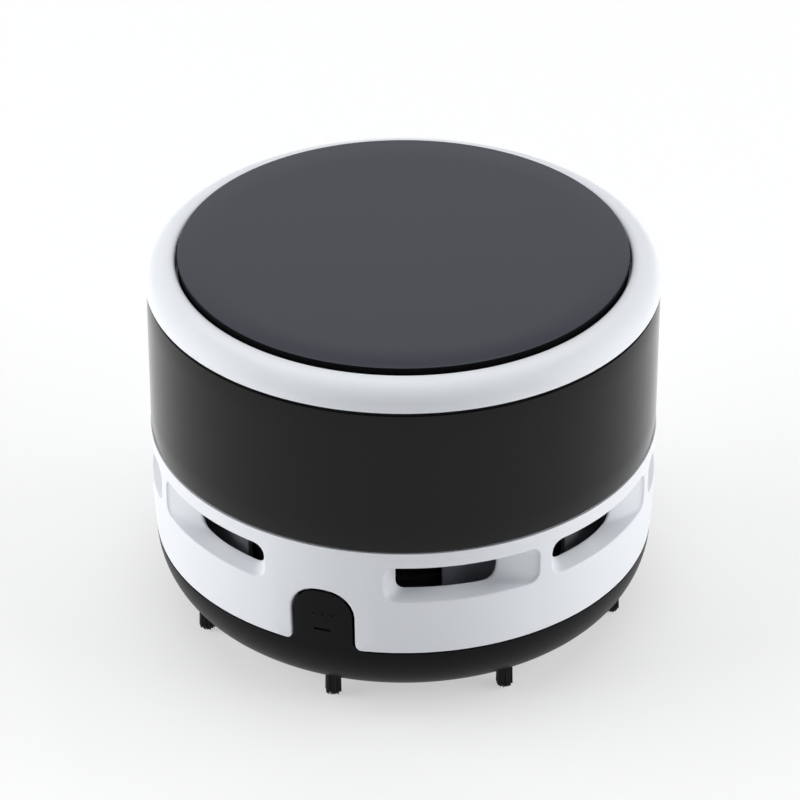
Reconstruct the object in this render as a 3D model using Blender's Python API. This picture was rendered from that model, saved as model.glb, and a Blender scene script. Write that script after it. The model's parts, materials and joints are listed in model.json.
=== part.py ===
# Desktop mini vacuum cleaner for crumbs: a round, battery-driven body with a press disc on top,
# scooped air outlets round its lower shell and a dust tray that hinges off below.
# Metres, +Z up. The origin is on the desk, under the centre. The release tab faces -Y.

import math

import bmesh
import bpy
from mathutils import Matrix, Vector

# Heights of the body, from the desk up
BRISTLE_LENGTH = 0.0030
TRAY_HEIGHT = 0.0098
RING_HEIGHT = 0.0045
DISC_PROUD = 0.0009

# Steps between the outer faces, which stand round the cells and their tray
BAND_INSET = 0.0001
RING_PROUD = 0.0001
RING_RIM = 0.0055
SHELL_TUCK = 0.0005
SHELL_TUCK_HEIGHT = 0.0130
SHELL_TUCK_POWER = 2.3
UNDERSIDE_DRAW = 0.0065
UNDERSIDE_POWER = 1.8

# Walls
SHELL_WALL = 0.0027
BAND_WALL = 0.0024
TRAY_FLOOR = 0.0022
SPIGOT_WALL = 0.0016
SPIGOT_HEIGHT = 0.0030
LIP_WALL = 0.0012
LIP_HEIGHT = 0.0030

# Gaps and clearances
SEAM_GAP = 0.0003
SEAT_GAP = 0.0003
DISC_GAP = 0.0004
TAB_GAP = 0.0004
BORE_GAP = 0.00025
KEEPER_GAP = 0.00025
FACE_STEP = 0.0001
MOTOR_SIDE_ROOM = 0.00105
CONTACT_SIDE_ROOM = 0.00115
DECK_MARGIN = 0.0007
FILTER_HEADROOM = 0.0009
SWITCH_HEADROOM = 0.0017

# Air outlets, counted from the tab towards each side
VENTS_PER_SIDE = 4
VENT_FIRST_ANGLE = math.radians(13.6)
VENT_PITCH = math.radians(39.0)
VENT_SPAN = math.radians(35.8)
VENT_SILL = 0.0106
VENT_MOUTH_HEIGHT = 0.0070
VENT_MOUTH_CORNER = 0.0018
VENT_EDGE_ROUND = 0.0004
SLOT_NEAR_MARGIN = math.radians(2.0)
SLOT_FAR_MARGIN = math.radians(11.0)
SLOT_SILL_RISE = 0.0019
SLOT_HEAD_DROP = 0.0003
SLOT_CORNER = 0.0012

# Release tab
TAB_WIDTH = 0.0106
TAB_HEIGHT = 0.0116
TAB_THICKNESS = 0.0020
TAB_CORNER = 0.0042
TAB_ROOT_FLARE = 0.0015
CATCH_HEIGHT = 0.0012
CATCH_RISE = 0.0046
CATCH_DEPTH = 0.0012
CATCH_NECK_WIDTH = 0.0085
CATCH_CLEARANCE = 0.0007
CATCH_SPAN = math.radians(10.5)
KEEPER_SPAN = math.radians(2.0)
KEEPER_HEIGHT = 0.0010

# Hook behind, which carries the tray
HOOK_SPAN = math.radians(12.0)
HOOK_REACH = 0.00055
HOOK_HEIGHT = 0.0008
HOOK_POCKET_DEPTH = 0.0010
HOOK_POCKET_ROOM = 0.0007

# Bristles
TUFT_COUNT = 8
TUFT_INSET = 0.0055
TUFT_RADIUS = 0.0015
TUFT_PLUG_LENGTH = 0.0020
TUFT_HOLE_DEPTH = 0.0040
TUFT_ROWS = 5
TUFT_COLUMNS = 4
TUFT_SPLAY = 1.12
TUFT_HOLE_ROOM = 0.00025
STRAND_SPACING = 0.00005

# Dust tray inside
LAND_WIDTH = 0.0038
LAND_HEIGHT = 0.0053
INTAKE_LENGTH = 0.0300
INTAKE_WIDTH = 0.0100
CHIMNEY_WALL = 0.0014
CHIMNEY_HEIGHT = 0.0105

# Fan chamber
SHELF_REACH = 0.0053
SHELF_THICKNESS = 0.0020
SHELF_STEP = 0.0004
DECK_THICKNESS = 0.0018
EXHAUST_WIDTH = 0.0058
SHROUD_WALL = 0.0015
WINDOW_SPAN = math.radians(15.0)
WINDOW_HEIGHT = 0.0080
WINDOW_RISE = 0.0014
INLET_THICKNESS = 0.0016
INLET_EYE_RADIUS = 0.0130
INLET_SPIGOT_HEIGHT = 0.0020
INLET_SPIGOT_WALL = 0.0012

# Impeller
FAN_SIDE_GAP = 0.0040
IMPELLER_HEIGHT = 0.0082
IMPELLER_PLATE = 0.0012
IMPELLER_HUB_RADIUS = 0.0045
IMPELLER_CLEARANCE = 0.0022
IMPELLER_FLOOR_GAP = 0.0017
BLADE_COUNT = 11
BLADE_INNER_RADIUS = 0.0100
BLADE_THICKNESS = 0.0010
BLADE_SWEEP = math.radians(38.0)
SHAFT_RADIUS = 0.0010
SHAFT_REACH = 0.0086

# Filter
FILTER_INSET = 0.0005
FILTER_RIM = 0.0040
FILTER_HEIGHT = 0.0027
FILTER_BAR_WIDTH = 0.0016
FILTER_BAR_HEIGHT = 0.0008
MESH_THICKNESS = 0.0004

# Motor
MOTOR_RADIUS = 0.0122
MOTOR_LENGTH = 0.0123
MOTOR_EDGE = 0.0010
MOTOR_BOSS_RADIUS = 0.0030
MOTOR_CAP_RADIUS = 0.0116
MOTOR_CAP_HEIGHT = 0.0014
TERMINAL_WIDTH = 0.0022
TERMINAL_HEIGHT = 0.0012
TERMINAL_THICKNESS = 0.0005
TERMINAL_OFFSET = 0.0085

# Cells and their tray
CELL_RADIUS = 0.00725
CELL_LENGTH = 0.0493
CELL_EDGE = 0.0006
CELL_NUB_RADIUS = 0.0027
CELL_NUB_LENGTH = 0.0010
BATTERY_TRAY_FLOOR = 0.0012
CRADLE_WALL = 0.0012
CRADLE_HEIGHT = 0.0095
CONTACT_WALL_HEIGHT = 0.0130
CONTACT_THICKNESS = 0.0004
CONTACT_WIDTH = 0.0046
CONTACT_HEIGHT = 0.0110
SPRING_ROOM = 0.0040
SPRING_WIRE_RADIUS = 0.0003
SPRING_CURLS = 2.5
SPRING_POINTS_PER_CURL = 9
SPRING_WIDE_RADIUS = 0.0034
SPRING_NARROW_RADIUS = 0.0022

# Switch
BRIDGE_WIDTH = 0.0110
BRIDGE_THICKNESS = 0.0014
BRIDGE_LEG_THICKNESS = 0.0012
SWITCH_SIZE = 0.0085
SWITCH_HEIGHT = 0.0045
PLUNGER_RADIUS = 0.0016
PLUNGER_PROUD = 0.0018
PRESS_TRAVEL = 0.0015

# Ring and disc
RING_EDGE = 0.0003
RING_FLOOR = 0.0014
RING_SKIRT_WALL = 0.0016
RING_SKIRT_DEPTH = 0.0056
STEM_HOLE_RADIUS = 0.0050
DISC_THICKNESS = 0.0016
DISC_CHAMFER = 0.0003
DISC_SKIRT_HEIGHT = 0.0026
DISC_SKIRT_WALL = 0.0014
STEM_RADIUS = 0.0030
LEG_COUNT = 3
LEG_INSET = 0.0076
LEG_WIDTH = 0.0050
LEG_THICKNESS = 0.0014
LEG_BARB = 0.0010
LEG_BARB_HEIGHT = 0.0015
LEG_SLOT_ROOM = 0.0005

# Screws
DECK_SCREW_COUNT = 4
DECK_SCREW_RADIUS = 0.0008
DECK_SCREW_BITE = 0.0014
MOTOR_SCREW_OFFSET = 0.0080
MOTOR_SCREW_RADIUS = 0.0007
MOTOR_SCREW_BITE = 0.0015
SCREW_HEAD_RADIUS = 0.0015
SCREW_HEAD_HEIGHT = 0.0010

# Leads
LEAD_RADIUS = 0.0006

# Fineness of the round forms
OUTER_SEGMENTS = 52
INNER_SEGMENTS = 30
SMALL_SEGMENTS = 12
SCREW_SEGMENTS = 8
VENT_CORNER_STEPS = 3
VENT_LONG_STEPS = 3
TUCK_STEPS = 4
UNDERSIDE_STEPS = 6
CROWN_STEPS = 5
BLADE_STEPS = 4
CELL_SEGMENTS = 20
SMOOTH_ANGLE = math.radians(32.0)
OVERCUT = 0.0006

# Radii, worked out from the motor and the cells outwards
cell_offset = MOTOR_RADIUS + MOTOR_SIDE_ROOM + CRADLE_WALL + SEAT_GAP + CELL_RADIUS
contact_x = (CELL_LENGTH + CELL_NUB_LENGTH + SPRING_ROOM + SEAT_GAP) / 2
contact_corner = math.hypot(contact_x + CONTACT_THICKNESS, cell_offset + CONTACT_WIDTH / 2)
battery_tray_radius = contact_corner + CONTACT_SIDE_ROOM
deck_radius = battery_tray_radius + DECK_MARGIN
lip_inner_radius = deck_radius + SEAT_GAP
lip_radius = lip_inner_radius + LIP_WALL
band_inner_radius = lip_radius + SEAT_GAP
band_radius = band_inner_radius + BAND_WALL
shell_radius = band_radius + BAND_INSET
ring_radius = shell_radius + RING_PROUD
shell_foot_radius = shell_radius - SHELL_TUCK
shell_inner_radius = shell_radius - SHELL_WALL
spigot_radius = shell_inner_radius - SEAT_GAP
underside_radius = shell_foot_radius - UNDERSIDE_DRAW
tuft_pitch_radius = shell_radius - TUFT_INSET
shelf_radius = shell_inner_radius - SHELF_REACH
shroud_radius = shell_inner_radius - EXHAUST_WIDTH
shroud_inner_radius = shroud_radius - SHROUD_WALL
impeller_radius = shroud_inner_radius - FAN_SIDE_GAP
filter_radius = shroud_radius - FILTER_INSET
deck_screw_pitch_radius = (shelf_radius + lip_inner_radius) / 2
disc_radius = ring_radius - RING_RIM
ring_opening_radius = disc_radius + DISC_GAP
ring_skirt_radius = band_inner_radius - SEAT_GAP
leg_pitch_radius = disc_radius - LEG_INSET

# Levels, worked out from the desk up
underside_z = BRISTLE_LENGTH
tray_seam_z = underside_z + TRAY_HEIGHT
tray_rim_z = tray_seam_z - SEAM_GAP / 2
shell_foot_z = tray_seam_z + SEAM_GAP / 2
spigot_top_z = tray_seam_z + SPIGOT_HEIGHT

filter_z = spigot_top_z + FILTER_HEADROOM
filter_top_z = filter_z + FILTER_HEIGHT
inlet_z = filter_top_z + SEAT_GAP
inlet_top_z = inlet_z + INLET_THICKNESS
shroud_foot_z = inlet_top_z + SEAT_GAP
impeller_z = shroud_foot_z + IMPELLER_FLOOR_GAP
impeller_top_z = impeller_z + IMPELLER_HEIGHT
deck_z = impeller_top_z + IMPELLER_CLEARANCE
deck_top_z = deck_z + DECK_THICKNESS
shelf_top_z = deck_z - SEAT_GAP
band_seam_z = shelf_top_z - SHELF_STEP
shell_shoulder_z = band_seam_z - SEAM_GAP / 2
band_foot_z = band_seam_z + SEAM_GAP / 2

motor_z = deck_top_z + SEAT_GAP
motor_top_z = motor_z + MOTOR_LENGTH
motor_cap_z = motor_top_z + SEAT_GAP
motor_cap_top_z = motor_cap_z + MOTOR_CAP_HEIGHT
battery_floor_z = deck_top_z + SEAT_GAP
battery_floor_top_z = battery_floor_z + BATTERY_TRAY_FLOOR
cell_axis_z = battery_floor_top_z + SEAT_GAP + CELL_RADIUS
bridge_z = motor_cap_top_z + TERMINAL_HEIGHT + SEAT_GAP
bridge_top_z = bridge_z + BRIDGE_THICKNESS
switch_z = bridge_top_z + SEAT_GAP
switch_top_z = switch_z + SWITCH_HEIGHT
plunger_top_z = switch_top_z + PLUNGER_PROUD
stem_foot_z = plunger_top_z + SEAT_GAP

ring_floor_z = switch_top_z + SWITCH_HEADROOM
ring_floor_top_z = ring_floor_z + RING_FLOOR
disc_skirt_z = ring_floor_top_z + SEAT_GAP + PRESS_TRAVEL
disc_top_z = disc_skirt_z + DISC_SKIRT_HEIGHT
disc_z = disc_top_z - DISC_THICKNESS
crown_z = disc_top_z - DISC_PROUD
ring_seam_z = crown_z - RING_HEIGHT
band_rim_z = ring_seam_z - SEAM_GAP / 2
ring_foot_z = ring_seam_z + SEAM_GAP / 2

tray_hinge = Vector((0, shell_foot_radius, tray_seam_z))
tab_hinge = Vector((0, TAB_THICKNESS / 2 - shell_foot_radius, shell_foot_z))


def clear_scene():
    for old in list(bpy.data.objects):
        bpy.data.objects.remove(old, do_unlink=True)


def plastic(name, colour, roughness, metallic=0.0):
    """A Principled material; the colour is linear RGB."""
    material = bpy.data.materials.new(name)
    material.use_nodes = True
    shader = material.node_tree.nodes["Principled BSDF"]
    shader.inputs["Base Color"].default_value = (*colour, 1.0)
    shader.inputs["Roughness"].default_value = roughness
    shader.inputs["Metallic"].default_value = metallic
    material.diffuse_color = (*colour, 1.0)
    return material


def make_object(name, bm, material, origin=(0, 0, 0), parent=None):
    """Turns a closed bmesh, drawn in the body's frame, into an object whose origin is given."""
    bmesh.ops.recalc_face_normals(bm, faces=bm.faces)
    origin = Vector(origin)
    bmesh.ops.translate(bm, verts=bm.verts, vec=-origin)
    mesh = bpy.data.meshes.new(name)
    bm.to_mesh(mesh)
    bm.free()
    mesh.shade_smooth()
    mesh.set_sharp_from_angle(angle=SMOOTH_ANGLE)
    mesh.materials.append(material)
    return link_object(name, mesh, origin, parent)


def link_object(name, data, origin, parent=None):
    item = bpy.data.objects.new(name, data)
    bpy.context.scene.collection.objects.link(item)
    item.parent = parent
    item.location = Vector(origin) - (parent_place(parent) if parent else Vector())
    return item


def parent_place(parent):
    place = parent.location.copy()
    while parent.parent:
        parent = parent.parent
        place += parent.location
    return place


def make_pivot(name, place, parent=None):
    """An empty on a joint's axis, which carries the pieces that move with it."""
    return link_object(name, None, place, parent)


def make_guide(name, bm):
    """A closed shape that cuts or extends another piece and is no piece itself."""
    bmesh.ops.recalc_face_normals(bm, faces=bm.faces)
    mesh = bpy.data.meshes.new(name)
    bm.to_mesh(mesh)
    bm.free()
    guide = link_object(name, mesh, (0, 0, 0))
    guide.hide_render = True
    guide.display_type = "WIRE"
    return guide


def combine(item, operation, guide):
    modifier = item.modifiers.new(guide.name, "BOOLEAN")
    modifier.operation = operation
    modifier.solver = "EXACT"
    modifier.object = guide


def turned(profile, segments, sweep=2 * math.pi, start=0.0):
    """A solid of revolution from (radius, height) points; start is measured from -Y towards +X."""
    bm = bmesh.new()
    points = [(radius * math.sin(start), -radius * math.cos(start), z) for radius, z in profile]
    verts = [bm.verts.new(point) for point in points]
    touches_axis = profile[0][0] == 0 and profile[-1][0] == 0
    pairs = zip(verts, verts[1:] if touches_axis else verts[1:] + verts[:1])
    edges = [bm.edges.new(pair) for pair in pairs]
    full_turn = sweep == 2 * math.pi
    bmesh.ops.spin(
        bm,
        geom=verts + edges,
        cent=(0, 0, 0),
        axis=(0, 0, 1),
        angle=sweep,
        steps=segments,
        use_merge=full_turn,
    )
    if not full_turn:
        bmesh.ops.holes_fill(bm, edges=bm.edges)
    bmesh.ops.remove_doubles(bm, verts=bm.verts, dist=1e-7)
    return bm


def arc(centre, radii, first, last, steps):
    """Points (radius, height) on an ellipse from one angle to another, in degrees."""
    angles = [math.radians(first + (last - first) * step / steps) for step in range(steps + 1)]
    return [(centre[0] + radii[0] * math.cos(a), centre[1] + radii[1] * math.sin(a)) for a in angles]


def block(low, high, edge=0.0):
    """A box between two corners, with its edges chamfered if an edge width is given."""
    bm = bmesh.new()
    size = [high[axis] - low[axis] for axis in range(3)]
    centre = [(high[axis] + low[axis]) / 2 for axis in range(3)]
    place = Matrix.Translation(centre) @ Matrix.Diagonal((*size, 1))
    bmesh.ops.create_cube(bm, size=1, matrix=place)
    if edge:
        bmesh.ops.bevel(bm, geom=bm.edges, offset=edge, segments=1, profile=0.5, affect="EDGES")
    return bm


def prism(outline, low, high, axis):
    """A solid with a flat outline, extruded along Y or along Z between two levels."""
    bm = bmesh.new()
    if axis == "Y":
        corners = [(u, low, v) for u, v in outline]
        travel = Vector((0, high - low, 0))
    else:
        corners = [(u, v, low) for u, v in outline]
        travel = Vector((0, 0, high - low))
    face = bm.faces.new([bm.verts.new(corner) for corner in corners])
    grown = bmesh.ops.extrude_face_region(bm, geom=[face])["geom"]
    bmesh.ops.translate(bm, verts=[v for v in grown if isinstance(v, bmesh.types.BMVert)], vec=travel)
    return bm


def turn_about_z(bm, angle):
    bmesh.ops.rotate(bm, verts=bm.verts, cent=(0, 0, 0), matrix=Matrix.Rotation(angle, 3, "Z"))
    return bm


def merged(shapes):
    """One bmesh that holds several shapes which don't touch."""
    whole = bmesh.new()
    for shape in shapes:
        part = bpy.data.meshes.new("shape")
        shape.to_mesh(part)
        shape.free()
        whole.from_mesh(part)
        bpy.data.meshes.remove(part)
    return whole


def rod(radius, low, high, place=(0, 0), segments=SMALL_SEGMENTS):
    """An upright cylinder between two levels."""
    bm = bmesh.new()
    bmesh.ops.create_cone(
        bm,
        cap_ends=True,
        segments=segments,
        radius1=radius,
        radius2=radius,
        depth=high - low,
        matrix=Matrix.Translation((place[0], place[1], (low + high) / 2)),
    )
    return bm


def on_circle(radius, angle):
    """A place on a circle; the angle is measured from -Y towards +X."""
    return radius * math.sin(angle), -radius * math.cos(angle)


def shell_outer_radius(z):
    """The white shell tucks in a little towards its foot."""
    share = min(max((shell_foot_z + SHELL_TUCK_HEIGHT - z) / SHELL_TUCK_HEIGHT, 0.0), 1.0)
    return shell_radius - SHELL_TUCK * share**SHELL_TUCK_POWER


def tuck_points(low, high, steps):
    levels = [low + (high - low) * step / steps for step in range(steps + 1)]
    return [(shell_outer_radius(z), z) for z in levels]


def vent_starts():
    """The outlets' first angles on the side of +X; the other side mirrors them."""
    return [VENT_FIRST_ANGLE + VENT_PITCH * index for index in range(VENTS_PER_SIDE)]


def outline_chains(first, last, low, high, corner_across, corner_up):
    """A rounded rectangle as a lower and an upper chain of points, whose columns pair up."""
    columns = []
    for step in range(VENT_CORNER_STEPS + 1):
        turn = math.pi / 2 * step / VENT_CORNER_STEPS
        columns.append((corner_across * (1 - math.cos(turn)), corner_up * (1 - math.sin(turn))))
    right = [(last - across, up) for across, up in columns]
    left = [(first + across, up) for across, up in reversed(columns)]
    span = left[0][0] - right[-1][0]
    middle = [(right[-1][0] + span * step / VENT_LONG_STEPS, 0) for step in range(1, VENT_LONG_STEPS)]
    chain = right + middle + left
    return [(across, low + up) for across, up in chain], [(across, high - up) for across, up in chain]


def vent_cutter(start, side):
    """The scoop of one outlet: a wide rounded mouth at the skin that narrows to a slot inside."""
    mouth_z = tray_seam_z + VENT_SILL
    mouth_top_z = mouth_z + VENT_MOUTH_HEIGHT
    mouth = (start, start + VENT_SPAN, mouth_z, mouth_top_z, VENT_MOUTH_CORNER)
    slot = (
        start + SLOT_NEAR_MARGIN,
        start + VENT_SPAN - SLOT_FAR_MARGIN,
        mouth_z + SLOT_SILL_RISE,
        mouth_top_z - SLOT_HEAD_DROP,
        SLOT_CORNER,
    )
    edge_radius = shell_radius - VENT_EDGE_ROUND
    inside_radius = shell_inner_radius - OVERCUT
    over = (edge_radius - inside_radius) / (edge_radius - shell_inner_radius)
    beyond = VENT_EDGE_ROUND + OVERCUT
    levels = [(edge_radius + beyond, 0.0, beyond), (edge_radius, 0.0, 0.0), (inside_radius, over, 0.0)]
    bm = bmesh.new()
    layers = []
    for radius, depth, flare in levels:
        first, last, low, high, corner = [a + (b - a) * depth for a, b in zip(mouth, slot)]
        turn = flare / radius
        corner += flare
        chains = outline_chains(
            first - turn, last + turn, low - flare, high + flare, corner / radius, corner
        )
        layers.append(
            [[bm.verts.new((*on_circle(radius, side * a), z)) for a, z in chain] for chain in chains]
        )
    last_column = len(layers[0][0]) - 1
    for outer, inner in zip(layers, layers[1:]):
        for near, far in zip(outer, inner):
            for column in range(last_column):
                bm.faces.new((near[column], near[column + 1], far[column + 1], far[column]))
        for column in (0, last_column):
            bm.faces.new((outer[0][column], outer[1][column], inner[1][column], inner[0][column]))
    for lower, upper in (layers[0], layers[-1]):
        for column in range(last_column):
            bm.faces.new((lower[column], lower[column + 1], upper[column + 1], upper[column]))
    bmesh.ops.recalc_face_normals(bm, faces=bm.faces)
    return bm


def tab_outline(grow, foot_z, flare_start):
    """The tab from the front: an upright tongue with a round top and flared root corners."""
    half = TAB_WIDTH / 2 + grow
    top = tray_seam_z + TAB_HEIGHT + grow
    corner = TAB_CORNER + grow
    flare = TAB_ROOT_FLARE - grow
    flared = arc((half + flare, shell_foot_z + flare), (flare, flare), flare_start, 180, 3)
    right = [(flared[0][0], foot_z)] + flared
    right += arc((half - corner, top - corner), (corner, corner), 0, 90, 5)
    return right + [(-across, up) for across, up in reversed(right)]


def sector(low_radius, high_radius, low, high, middle, span, steps=2):
    """A curved block round the body's axis; the middle is measured from -Y towards +X."""
    profile = [(low_radius, low), (high_radius, low), (high_radius, high), (low_radius, high)]
    return turned(profile, steps, sweep=span, start=middle - span / 2)


def make_dust_tray(colour):
    """The rounded base: floor, bristle land, intake chimney, and the spigot that enters the shell."""
    spigot_inner = spigot_radius - SPIGOT_WALL
    land_inner = tuft_pitch_radius - LAND_WIDTH
    land_z = underside_z + LAND_HEIGHT
    floor_z = underside_z + TRAY_FLOOR
    bulge = shell_foot_radius - underside_radius
    rise = tray_rim_z - underside_z
    side = []
    for step in range(UNDERSIDE_STEPS + 1):
        turn = math.pi / 2 * step / UNDERSIDE_STEPS
        across = math.sin(turn) ** (2 / UNDERSIDE_POWER)
        up = 1 - math.cos(turn) ** (2 / UNDERSIDE_POWER)
        side.append((underside_radius + bulge * across, underside_z + rise * up))
    profile = [(0, underside_z)] + side
    profile += [
        (spigot_radius, tray_rim_z),
        (spigot_radius, spigot_top_z),
        (spigot_inner, spigot_top_z),
        (spigot_inner, land_z),
        (land_inner, land_z),
        (land_inner, floor_z),
        (0, floor_z),
    ]
    tray = make_object("dust_tray", turned(profile, OUTER_SEGMENTS), colour)
    chimney_top_z = underside_z + CHIMNEY_HEIGHT
    chimney = prism(stadium(CHIMNEY_WALL), underside_z + TRAY_FLOOR / 2, chimney_top_z, "Z")
    combine(tray, "UNION", make_guide("chimney_shape", chimney))
    funnel = TRAY_FLOOR / 2
    intake = lofted(
        [
            (stadium(funnel + OVERCUT), underside_z - OVERCUT),
            (stadium(0), underside_z + funnel),
            (stadium(0), chimney_top_z + OVERCUT),
        ]
    )
    combine(tray, "DIFFERENCE", make_guide("intake_cutter", intake))
    hole_radius = TUFT_RADIUS + TUFT_HOLE_ROOM
    hole_top_z = underside_z + TUFT_HOLE_DEPTH
    places = [on_circle(tuft_pitch_radius, angle) for angle in tuft_angles()]
    holes = [rod(hole_radius, underside_z - OVERCUT, hole_top_z, place) for place in places]
    combine(tray, "DIFFERENCE", make_guide("tuft_hole_cutter", merged(holes)))
    hook_top_z = spigot_top_z - FACE_STEP
    hook = sector(
        spigot_radius - SPIGOT_WALL / 2,
        spigot_radius + HOOK_REACH,
        hook_top_z - HOOK_HEIGHT,
        hook_top_z,
        math.pi,
        HOOK_SPAN,
    )
    combine(tray, "UNION", make_guide("hook_shape", hook))


def stadium(grow):
    """The intake slot seen from above, grown outwards by a margin."""
    radius = INTAKE_WIDTH / 2 + grow
    reach = (INTAKE_LENGTH - INTAKE_WIDTH) / 2
    return arc((reach, 0), (radius, radius), -90, 90, 6) + arc((-reach, 0), (radius, radius), 90, 270, 6)


def lofted(loops):
    """A closed solid through flat loops of equally many points, given with their levels."""
    bm = bmesh.new()
    rings = [[bm.verts.new((u, v, z)) for u, v in loop] for loop, z in loops]
    for lower, upper in zip(rings, rings[1:]):
        for index in range(len(lower)):
            after = (index + 1) % len(lower)
            bm.faces.new((lower[index], lower[after], upper[after], upper[index]))
    bm.faces.new(rings[0])
    bm.faces.new(rings[-1])
    bmesh.ops.recalc_face_normals(bm, faces=bm.faces)
    return bm


def tuft_angles():
    return [2 * math.pi * index / TUFT_COUNT for index in range(TUFT_COUNT)]


def make_tufts(colour):
    """Bunches of three-sided bristles, each bunch on the plug that is pressed into its hole."""
    plug_top_z = underside_z + TUFT_HOLE_DEPTH - SEAT_GAP
    plug_z = plug_top_z - TUFT_PLUG_LENGTH
    bm = bmesh.new()
    bmesh.ops.create_grid(bm, x_segments=TUFT_ROWS, y_segments=TUFT_COLUMNS, size=1)
    for vert in bm.verts:
        x, y, _ = vert.co
        vert.co = (x * math.sqrt(1 - y * y / 2) * TUFT_RADIUS, y * math.sqrt(1 - x * x / 2) * TUFT_RADIUS, 0)
    bmesh.ops.triangulate(bm, faces=bm.faces)
    grown = bmesh.ops.extrude_face_region(bm, geom=bm.faces[:])["geom"]
    top = [item for item in grown if isinstance(item, bmesh.types.BMVert)]
    bmesh.ops.translate(bm, verts=top, vec=(0, 0, TUFT_PLUG_LENGTH))
    bmesh.ops.recalc_face_normals(bm, faces=bm.faces)
    bottom = [face for face in bm.faces if face.calc_center_median().z < TUFT_PLUG_LENGTH / 4]
    bmesh.ops.inset_individual(bm, faces=bottom, thickness=STRAND_SPACING)
    strands = bmesh.ops.extrude_discrete_faces(bm, faces=bottom)["faces"]
    tips = list({vert for face in strands for vert in face.verts})
    bmesh.ops.translate(bm, verts=tips, vec=(0, 0, -plug_z))
    bmesh.ops.scale(bm, verts=tips, vec=(TUFT_SPLAY, TUFT_SPLAY, 1))
    bmesh.ops.translate(bm, verts=bm.verts, vec=(0, 0, plug_z))
    mesh = bpy.data.meshes.new("bristle_tuft")
    bm.to_mesh(mesh)
    bm.free()
    mesh.materials.append(colour)
    for index, angle in enumerate(tuft_angles()):
        tuft = link_object(f"bristle_tuft_{index + 1}", mesh, (*on_circle(tuft_pitch_radius, angle), 0))
        tuft.rotation_euler = (0, 0, angle)


def make_release_tab(colour, parent):
    """The push tab: a tongue flush with the shell, with a catch bar that spreads behind the wall."""
    inner = shell_foot_radius - TAB_THICKNESS
    top_z = tray_seam_z + TAB_HEIGHT + OVERCUT
    profile = [(inner, shell_foot_z)] + tuck_points(shell_foot_z, top_z, TUCK_STEPS) + [(inner, top_z)]
    span = 4 * 2 * math.pi / OUTER_SEGMENTS
    tab = make_object("release_tab", turned(profile, 4, span, -span / 2), colour, tab_hinge, parent)
    front = prism(
        tab_outline(0, shell_foot_z - OVERCUT, 225), -shell_radius - OVERCUT, -shell_radius / 2, "Y"
    )
    combine(tab, "INTERSECT", make_guide("tab_shape", front))
    bar_radius = shell_inner_radius - CATCH_CLEARANCE
    bar_z = tray_seam_z + CATCH_RISE
    bar = sector(bar_radius - CATCH_DEPTH, bar_radius, bar_z, bar_z + CATCH_HEIGHT, 0, 2 * CATCH_SPAN, 4)
    neck = sector(
        bar_radius - CATCH_DEPTH / 2,
        inner + TAB_THICKNESS / 2,
        bar_z + FACE_STEP,
        bar_z + CATCH_HEIGHT - FACE_STEP,
        0,
        CATCH_NECK_WIDTH / shell_radius,
    )
    combine(tab, "UNION", make_guide("tab_neck_shape", neck))
    combine(tab, "UNION", make_guide("catch_bar_shape", bar))


def make_vent_shell(colour, parent):
    """The white lower shell: scooped outlets, the tab's notch, the fan shelf and the band's lip."""
    lip_top_z = band_seam_z + LIP_HEIGHT
    profile = tuck_points(shell_foot_z, shell_foot_z + SHELL_TUCK_HEIGHT, TUCK_STEPS)
    profile += [
        (shell_radius, shell_shoulder_z),
        (lip_radius, shell_shoulder_z),
        (lip_radius, lip_top_z),
        (lip_inner_radius, lip_top_z),
        (lip_inner_radius, shelf_top_z),
        (shelf_radius, shelf_top_z),
        (shelf_radius, shelf_top_z - SHELF_THICKNESS / 2),
        (shell_inner_radius, shelf_top_z - SHELF_THICKNESS),
        (shell_inner_radius, shell_foot_z),
    ]
    shell = make_object("vent_shell", turned(profile, OUTER_SEGMENTS), colour, tray_hinge, parent)
    scoops = [vent_cutter(start, side) for side in (1, -1) for start in vent_starts()]
    combine(shell, "DIFFERENCE", make_guide("vent_cutter", merged(scoops)))
    notch = prism(
        tab_outline(TAB_GAP, shell_foot_z - OVERCUT, 270), -shell_radius - OVERCUT, -shell_radius / 2, "Y"
    )
    combine(shell, "DIFFERENCE", make_guide("notch_cutter", notch))
    hook_z = spigot_top_z - FACE_STEP - HOOK_HEIGHT
    pocket = sector(
        shell_inner_radius - OVERCUT,
        shell_inner_radius + HOOK_POCKET_DEPTH,
        hook_z - HOOK_POCKET_ROOM,
        hook_z + HOOK_HEIGHT + HOOK_POCKET_ROOM,
        math.pi,
        HOOK_SPAN + 2 * HOOK_POCKET_ROOM / shell_radius,
    )
    combine(shell, "DIFFERENCE", make_guide("hook_pocket_cutter", pocket))
    bar_radius = shell_inner_radius - CATCH_CLEARANCE
    bar_z = tray_seam_z + CATCH_RISE
    keepers = [
        sector(
            bar_radius + KEEPER_GAP,
            shell_inner_radius + SHELL_WALL / 3,
            bar_z - SEAT_GAP - KEEPER_HEIGHT,
            bar_z - SEAT_GAP,
            side * (CATCH_SPAN - KEEPER_SPAN / 2),
            KEEPER_SPAN,
            1,
        )
        for side in (1, -1)
    ]
    combine(shell, "UNION", make_guide("keeper_shape", merged(keepers)))
    holes = [
        rod(
            DECK_SCREW_RADIUS + BORE_GAP,
            shelf_top_z - DECK_SCREW_BITE - SEAT_GAP,
            shelf_top_z + OVERCUT,
            on_circle(deck_screw_pitch_radius, angle),
            SCREW_SEGMENTS,
        )
        for angle in deck_screw_angles()
    ]
    combine(shell, "DIFFERENCE", make_guide("shelf_hole_cutter", merged(holes)))


def deck_screw_angles():
    return [2 * math.pi * index / DECK_SCREW_COUNT for index in range(DECK_SCREW_COUNT)]


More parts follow.
